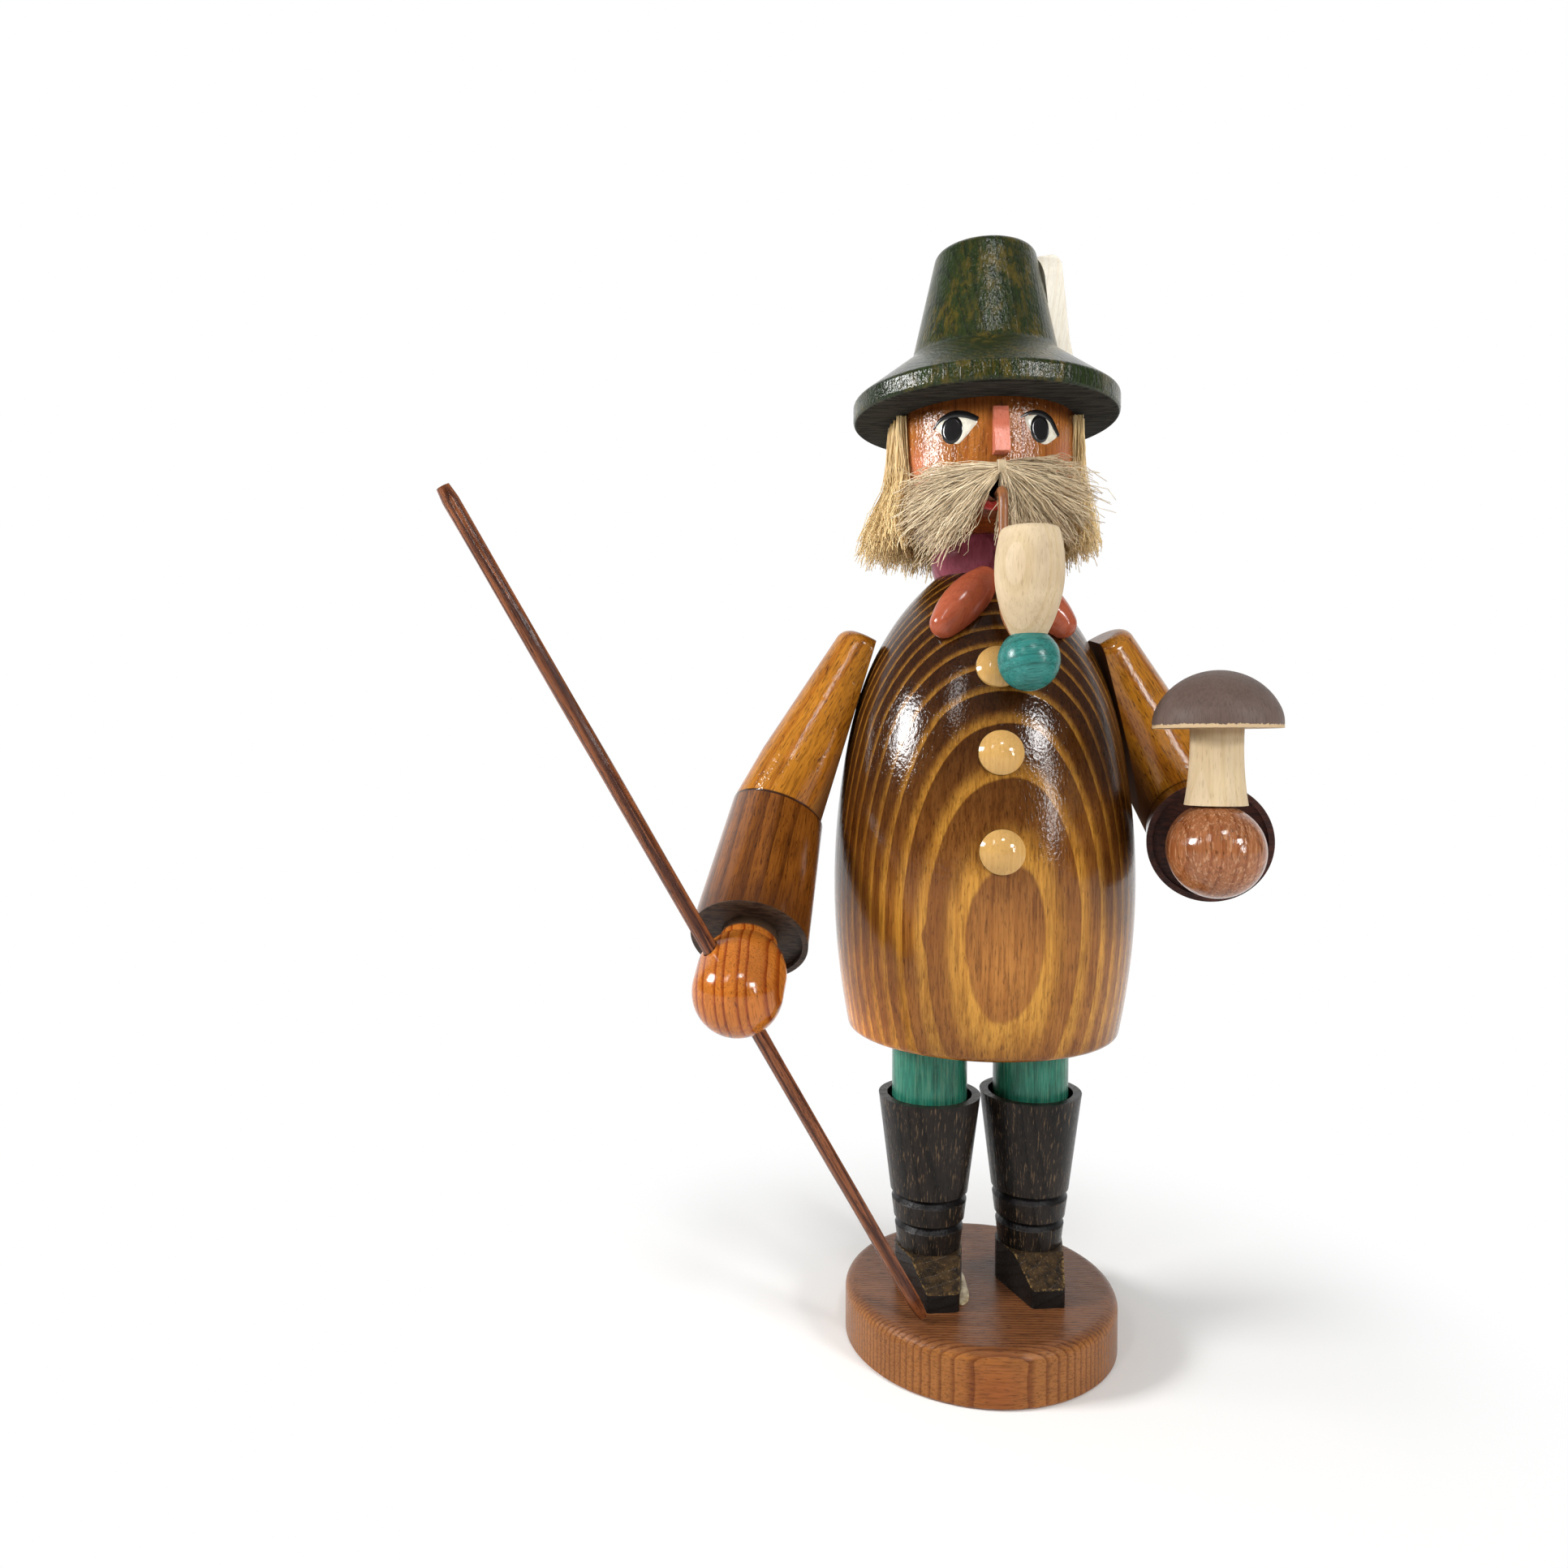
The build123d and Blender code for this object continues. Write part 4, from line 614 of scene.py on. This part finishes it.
# Face paint: eyes with black pupils and lids and a red lower lip, brushed on the lacquered head as thin
# glossy enamel that stands a little above it.
HEAD_RADIUS = 15.2
EDGE = -0.04  # the paint's edge lies a little inside the wood


def enamel(name, colour):
    material, tree, skin = blank(name)
    spot = here(tree)
    brushed = put(tree, "TexNoise", {"Vector": spot, "Scale": 1400.0, "Detail": 3.0}).outputs["Fac"]
    brushed_thin = tuple(0.8 * part for part in colour)
    paint(tree, skin, tint(tree, step(tree, brushed, 0.3, 0.7), (*brushed_thin, 1), (*colour, 1)))
    skin.inputs["Roughness"].default_value = 0.14
    emboss(tree, skin, brushed, 0.02)
    return material


def on_face(middle, across, high, lift):
    """A point on the head: so far across from a middle in degrees, at a height and a lift above the wood."""
    turn = radians(middle) + across / HEAD_RADIUS
    return ((HEAD_RADIUS + lift) * sin(turn), -(HEAD_RADIUS + lift) * cos(turn), high)


def curve_through(points, count, closed):
    """Evenly parted points on a smooth curve through the given ones."""
    total = len(points) if closed else len(points) - 1
    result = []
    for i in range(count):
        where = total * i / (count if closed else count - 1)
        first = min(int(where), total - 1)
        t = where - first
        close_by = range(first - 1, first + 3)
        if closed:
            close_by = [k % len(points) for k in close_by]
        else:
            close_by = [max(0, min(total, k)) for k in close_by]
        a, b, c, d = (Vector(points[k]) for k in close_by)
        result.append(0.5 * (2 * b + (c - a) * t + (2 * a - 5 * b + 4 * c - d) * t ** 2
                             + (3 * b - a - 3 * c + d) * t ** 3))
    return result


def patch(name, middle, high, outline, lift, material):
    """A smooth-edged spot of paint; the outline is clockwise, in millimetres across and up."""
    count = 44
    rim = curve_through(outline, count, True)[::-1]
    centre = sum(rim, Vector((0, 0))) / count
    rings = ((1.0, EDGE), (0.985, lift), (0.7, lift), (0.35, lift))
    points = []
    for scale, height in rings:
        for spot in rim:
            spot = centre + (spot - centre) * scale
            points.append(on_face(middle, spot.x, high + spot.y, height))
    tip, last = len(points), len(points) - count
    points.append(on_face(middle, centre.x, high + centre.y, lift))
    faces = tube_faces(len(rings), count)
    faces += [(last + i, last + (i + 1) % count, tip) for i in range(count)]
    piece = plain_mesh(name, points, faces, material)
    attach(piece, "figure")


def stroke(name, middle, high, line, lift, material):
    """A brush stroke; the line gives places across and up and half the width there."""
    last = 29
    path = curve_through(line, last + 1, False)
    across = ((-1, EDGE), (-0.8, lift), (0, lift), (0.8, lift), (1, EDGE))
    points = []
    for i, spot in enumerate(path):
        ahead = (path[min(i + 1, last)] - path[max(i - 1, 0)]).xy.normalized()
        for side, height in across:
            points.append(on_face(middle, spot.x - ahead.y * side * spot.z,
                                  high + spot.y + ahead.x * side * spot.z, height))
    wide = len(across)
    faces = [(at, at + wide, at + wide + 1, at + 1)
             for row in range(last) for at in range(row * wide, row * wide + wide - 1)]
    piece = plain_mesh(name, points, faces, material)
    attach(piece, "figure")


eye_white = enamel("eye_white", (0.84, 0.79, 0.66))
eye_black = enamel("eye_black", (0.010, 0.009, 0.009))
lip_red = enamel("lip_red", (0.48, 0.035, 0.025))
pupil = [(1.85 * cos(-pi * i / 6), 2.28 * sin(-pi * i / 6)) for i in range(12)]
EYE_HEIGHT = 156.3
WHITE_LIFT, LIP_LIFT, PUPIL_LIFT, LID_LIFT = 0.05, 0.06, 0.09, 0.12
for side, middle, white, lid in (
        ("right", -26.8,
         [(-2.9, 0.9), (-1.6, 1.9), (0, 2.3), (2.4, 1.7), (4.2, 1.0), (3.3, -0.3), (2.2, -1.5), (0.9, -2.4),
          (-1.0, -1.4)],
         [(-3.4, 0.6, 0.12), (-2.0, 1.9, 0.36), (0.2, 2.45, 0.58), (2.4, 2.1, 0.58), (4.3, 1.2, 0.42)]),
        ("left", 28.8,
         [(-2.9, 1.5), (-1.6, 2.0), (0, 2.2), (2.2, 1.3), (3.9, -0.4), (2.8, -1.5), (1.2, -2.35),
          (-0.4, -2.0), (-2.0, -0.4)],
         [(-3.6, 1.5, 0.12), (-1.9, 2.35, 0.34), (0.2, 2.5, 0.52), (2.1, 1.85, 0.55), (3.3, 0.6, 0.5),
          (4.3, -0.5, 0.35)])):
    patch("eye_" + side + "_white", middle, EYE_HEIGHT, white, WHITE_LIFT, eye_white)
    patch("eye_" + side + "_pupil", middle, EYE_HEIGHT, pupil, PUPIL_LIFT, eye_black)
    stroke("eye_" + side + "_lid", middle, EYE_HEIGHT, lid, LID_LIFT, eye_black)
lip = [(-2.9, 0.6), (-1.6, -0.2), (0.0, -0.5), (1.6, -0.2), (2.8, 0.5), (2.2, -0.9), (0.2, -1.7),
       (-1.9, -1.0)]
patch("lip", -2.0, 144.6, lip, LIP_LIFT, lip_red)

# Hair: a fringe of combed flax glued round the sides and back of the head under the brim, flaring
# towards its tips and cut off level with the collar.
FIBRES = bpy.data.node_groups.new("fibres", "GeometryNodeTree")
FIBRES.interface.new_socket("Guides", in_out="INPUT", socket_type="NodeSocketGeometry")
for name in ("Strands", "Points", "Seed"):
    FIBRES.interface.new_socket(name, in_out="INPUT", socket_type="NodeSocketInt")
for name in ("Root Spread", "Tip Spread"):
    FIBRES.interface.new_socket(name, in_out="INPUT", socket_type="NodeSocketVector")
for name in ("Frizz", "Frizz Size", "Shortest", "Root Radius", "Tip Radius"):
    FIBRES.interface.new_socket(name, in_out="INPUT", socket_type="NodeSocketFloat")
FIBRES.interface.new_socket("Material", in_out="INPUT", socket_type="NodeSocketMaterial")
FIBRES.interface.new_socket("Fibres", in_out="OUTPUT", socket_type="NodeSocketGeometry")
tree = FIBRES
given = tree.nodes.new("NodeGroupInput").outputs
asked = tree.nodes.new("NodeGroupOutput").inputs
lines = put(tree, "GeometryNodeMeshToCurve", {"Mesh": given["Guides"]}).outputs[0]
lines = put(tree, "GeometryNodeResampleCurve", {"Curve": lines, "Count": given["Points"]}).outputs[0]
many = put(tree, "GeometryNodeDuplicateElements", {"Geometry": lines, "Amount": given["Strands"]},
           domain="SPLINE").outputs["Geometry"]
strand = put(tree, "GeometryNodeCurveOfPoint").outputs["Curve Index"]
far = put(tree, "GeometryNodeSplineParameter").outputs["Factor"]
stray = put(tree, "FunctionNodeRandomValue", {0: (-1, -1, -1), 1: (1, 1, 1), "ID": strand,
                                              "Seed": given["Seed"]}, data_type="FLOAT_VECTOR").outputs[0]
spread = put(tree, "Mix", {0: far, 4: given["Root Spread"], 5: given["Tip Spread"]},
             data_type="VECTOR").outputs[1]
stray_far = vector(tree, "MULTIPLY", stray, spread)
spot = put(tree, "GeometryNodeInputPosition").outputs[0]
spot = scaled(tree, spot, calc(tree, "DIVIDE", 1.0, given["Frizz Size"]))
spot = vector(tree, "ADD", spot, vector(tree, "MULTIPLY", stray, (5, 5, 5)))
curl = put(tree, "TexNoise", {"Vector": spot, "Scale": 1.0, "Detail": 1.0}).outputs["Color"]
curl = scaled(tree, vector(tree, "SUBTRACT", curl, (0.5, 0.5, 0.5)), times(tree, far, given["Frizz"]))
offset = vector(tree, "ADD", stray_far, curl)
many = put(tree, "GeometryNodeSetPosition", {"Geometry": many, "Offset": offset}).outputs[0]
length = put(tree, "FunctionNodeRandomValue", {2: given["Shortest"], 3: 1.0,
                                               "Seed": calc(tree, "ADD", given["Seed"], 7)}).outputs[1]
many = put(tree, "GeometryNodeTrimCurve", {0: many, 3: length}).outputs[0]
shade = put(tree, "FunctionNodeRandomValue", {2: 0.0, 3: 1.0,
                                              "Seed": calc(tree, "ADD", given["Seed"], 3)}).outputs[1]
many = put(tree, "GeometryNodeStoreNamedAttribute", {"Geometry": many, "Name": "strand", "Value": shade},
           domain="CURVE").outputs[0]
thick = put(tree, "Mix", {0: far, 2: given["Root Radius"], 3: given["Tip Radius"]}).outputs[0]
ring = put(tree, "GeometryNodeCurvePrimitiveCircle", {"Resolution": 3, "Radius": 1.0}).outputs[0]
tubes = put(tree, "GeometryNodeCurveToMesh", {"Curve": many, "Profile Curve": ring, "Scale": thick,
                                              "Fill Caps": True}).outputs[0]
tubes = put(tree, "GeometryNodeRealizeInstances", {0: tubes}).outputs[0]
tubes = put(tree, "GeometryNodeSetMaterial", {"Geometry": tubes, "Material": given["Material"]}).outputs[0]
tree.links.new(tubes, asked["Fibres"])


def flax(name, dark, pale):
    material, tree, skin = blank(name)
    strand = put(tree, "Attribute", attribute_name="strand").outputs["Fac"]
    spot = here(tree)
    patchy = put(tree, "TexNoise", {"Vector": spot, "Scale": 260.0, "Detail": 3.0}).outputs["Fac"]
    paint(tree, skin, tint(tree, calc(tree, "MULTIPLY_ADD", patchy, 0.5, times(tree, strand, 0.6)),
                           (*dark, 1), (*pale, 1)))
    skin.inputs["Roughness"].default_value = 0.42
    skin.inputs["Specular IOR Level"].default_value = 0.35
    return material


def grow(name, guides, material, node, slot, **amounts):
    """A bundle of fibres along guide lines, in the place of a CAD node."""
    mesh = bpy.data.meshes.new(name + "_guides")
    points, edges = [], []
    for guide in guides:
        edges += [(len(points) + i, len(points) + i + 1) for i in range(len(guide) - 1)]
        points += [Vector(point) * MM for point in guide]
    mesh.from_pydata(points, edges, [])
    holder = bpy.data.objects.new(name + "_guides", mesh)
    scene.collection.objects.link(holder)
    modifier = holder.modifiers.new("fibres", "NODES")
    modifier.node_group = FIBRES
    amounts["Material"] = material
    for socket in FIBRES.interface.items_tree:
        if socket.in_out == "INPUT" and socket.name in amounts:
            modifier[socket.identifier] = amounts[socket.name]
    grown = holder.evaluated_get(bpy.context.evaluated_depsgraph_get())
    piece = bpy.data.objects.new(name, bpy.data.meshes.new_from_object(grown))
    scene.collection.objects.link(piece)
    bpy.data.objects.remove(holder)
    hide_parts(node)
    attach(piece, "figure")


chance = Random(21)
guides = []
locks, first_turn, whole_turn = 32, 70, 220
for i in range(locks):
    share = i / (locks - 1)
    turn = first_turn + whole_turn * share
    front = max(0.0, 1 - min(share, 1 - share) / 0.16) * (1 if share < 0.5 else -1)
    loose = 0.5 - 0.5 * cos(2 * pi * share) if share < 0.5 else 1.0
    for inner, outer in ((15.6, 17.0), (15.9, 18.6 + 2.4 * loose)):
        knots = []
        for height, flare, lean in ((160.7, 0.0, 0.0), (155.5, 0.0, 1.0), (149.5, 0.10, 4.0),
                                    (143.5, 0.62, 10.0), (137.6, 1.0, 15.0)):
            angle = radians(turn - lean * front + chance.uniform(-2, 2) + 2.5)
            reach = inner + (outer - inner) * flare + chance.uniform(-0.15, 0.15)
            knots.append((reach * sin(angle), -reach * cos(angle), height))
        guides.append(curve_through(knots, 16, False))
hair_flax = flax("hair_flax", (0.46, 0.27, 0.08), (1.0, 0.78, 0.42))
grow("hair_fibres", guides, hair_flax, "hair", "hair_flax", Strands=42, Points=10, Seed=5,
     **{"Root Spread": (0.0008, 0.0008, 0.0), "Tip Spread": (0.0017, 0.0017, 0.0007), "Frizz": 0.0055,
        "Frizz Size": 0.005, "Shortest": 0.84, "Root Radius": 0.000085, "Tip Radius": 0.000065})

# Moustache: two bundles of the same flax, greyer, parted by a tight winding of thread under the nose and
# left to spread over the cheeks.
moustache_flax = flax("moustache_flax", (0.34, 0.215, 0.100), (1.0, 0.86, 0.61))
root = Vector((0.73, -16.55, 149.5))
for side, fan, out in (
        ("right", [(7, 14.6), (14, 16.6), (24, 17.8), (34, 18.2), (42, 18.3), (50, 18.0), (55, 15.0)], -1),
        ("left", [(0, 12.6), (8, 15.6), (18, 17.4), (30, 17.8), (44, 17.6), (58, 16.0), (72, 13.5),
                  (85, 11.0)], 1)):
    guides = []
    for drop, reach in fan:
        for depth in (-0.5, 0.5):
            knots = []
            for share, sag in ((0.0, -6.0), (0.33, -5.0), (0.66, -1.0), (1.0, 2.0)):
                angle = radians(drop + sag + chance.uniform(-1.5, 1.5))
                far = reach * share
                back = 0.24 * far * cos(angle) + depth * (0.5 + share)
                knots.append(root + Vector((out * far * cos(angle), back, -far * sin(angle))))
            guides.append(curve_through(knots, 12, False))
    grow("moustache_fibres_" + side, guides, moustache_flax, "moustache_" + side, "moustache_flax",
         Strands=40, Points=10, Seed=9 if out > 0 else 14,
         **{"Root Spread": (0.0003, 0.0006, 0.0006), "Tip Spread": (0.0019, 0.0015, 0.0019), "Frizz": 0.0060,
            "Frizz Size": 0.005, "Shortest": 0.70, "Root Radius": 0.00008, "Tip Radius": 0.00006})
turns, steps, around = 5, 120, 8
tie_radius, thread_radius, tie_width = 1.02, 0.15, 1.24
points = []
for i in range(steps + 1):
    turn = 2 * pi * turns * i / steps
    outward = Vector((0, cos(turn), sin(turn)))
    centre = root + Vector((tie_width * i / steps - tie_width / 2, 0, 0)) + tie_radius * outward
    for k in range(around):
        angle = 2 * pi * k / around
        points.append(centre + thread_radius * (outward * cos(angle) + Vector((sin(angle), 0, 0))))
faces = [(b, a, d, c) for a, b, c, d in tube_faces(steps + 1, around)]
faces += [tuple(range(around)), tuple(range(steps * around, (steps + 1) * around))[::-1]]
thread, tree, skin = blank("tie_thread")
spot = here(tree)
twist = put(tree, "TexNoise", {"Vector": spot, "Scale": 2500.0, "Detail": 2.0}).outputs["Fac"]
paint(tree, skin, tint(tree, twist, (0.36, 0.27, 0.15, 1), (0.66, 0.54, 0.36, 1)))
skin.inputs["Roughness"].default_value = 0.6
winding = plain_mesh("tie_winding", points, faces, thread)
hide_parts("moustache_tie")
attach(winding, "figure")

# Hat and feather: a turned hat of coarse wood, stained dark green with the brown showing through in
# patches under thick lacquer, and a flat feather cut from pale wood.
material, tree, skin, colour, mark = wood(
    "hat_stain", (90, 50, 160), (0, 0, 1), 1.1, (0.016, 0.028, 0.006), (0.010, 0.018, 0.005), streak=0.5,
    gloss=0.12, relief=0.05, peel=0.085, shine=0.27)
grown = trunk_place(mark)
patchy = times(tree, step(tree, noise(tree, grown, (0.13, 0.13, 0.10), 2.0), 0.40, 0.60),
              step(tree, noise(tree, grown, (0.9, 0.9, 0.33), 5.0, 0.78), 0.43, 0.63))
colour = tint(tree, times(tree, patchy, 0.8), colour, (0.088, 0.062, 0.008, 1))
emboss(tree, skin, noise(tree, grown, (1.0, 1.0, 0.8), 3.0, 0.6), 0.055)
under = step(tree, normal_along(tree, "Z"), -0.6, -0.9)
lines = noise(tree, here(tree), (250, 2600, 250), 2.0)
lines = tint(tree, step(tree, lines, 0.4, 0.6), (0.007, 0.006, 0.004, 1), (0.034, 0.031, 0.023, 1))
paint(tree, skin, tint(tree, under, colour, lines))
dull(tree, skin, under, 0.85)
dress(material, "hat")
material, tree, skin, colour, mark = wood(
    "feather_wood", (60, 0, 170), (0.1, 0, 1), 1.2, (0.87, 0.82, 0.71), (0.83, 0.76, 0.63), streak=0.12,
    pore=0.1, cloud=0.1, gloss=0.6, shine=0.2)
dress(material, "hat_feather")

# Pipe: a bent brown stem that hangs loose in the mouth, a teal bead with the marks of turning round it,
# and a bare pale bowl.
material, tree, skin, colour, mark = wood(
    "stem_stain", (0, 0, 0), (0, 0, 1), 1.0, (0.30, 0.12, 0.045), (0.22, 0.08, 0.03), gloss=0.3)
dress(material, "pipe_stem")
material, tree, skin, colour, mark = wood(
    "bead_stain", (0, 0, 260), (1, 0, 0.08), 1.6, (0.030, 0.205, 0.184), (0.022, 0.155, 0.138), streak=0.45,
    pore=0.5, gloss=0.24, relief=0.02)
thin = times(tree, step(tree, mark["Fibre"], 0.42, 0.25), 0.3)
paint(tree, skin, tint(tree, thin, colour, (0.28, 0.42, 0.32, 1)))
dress(material, "pipe_bead")
material, tree, skin, colour, mark = wood(
    "bowl_bare", (60, 60, 130), (0, 0, 1), 1.6, (0.60, 0.475, 0.31), (0.56, 0.43, 0.26), streak=0.16,
    pore=0.2, gloss=0.5, shine=0.2)
dress(material, "pipe_bowl")
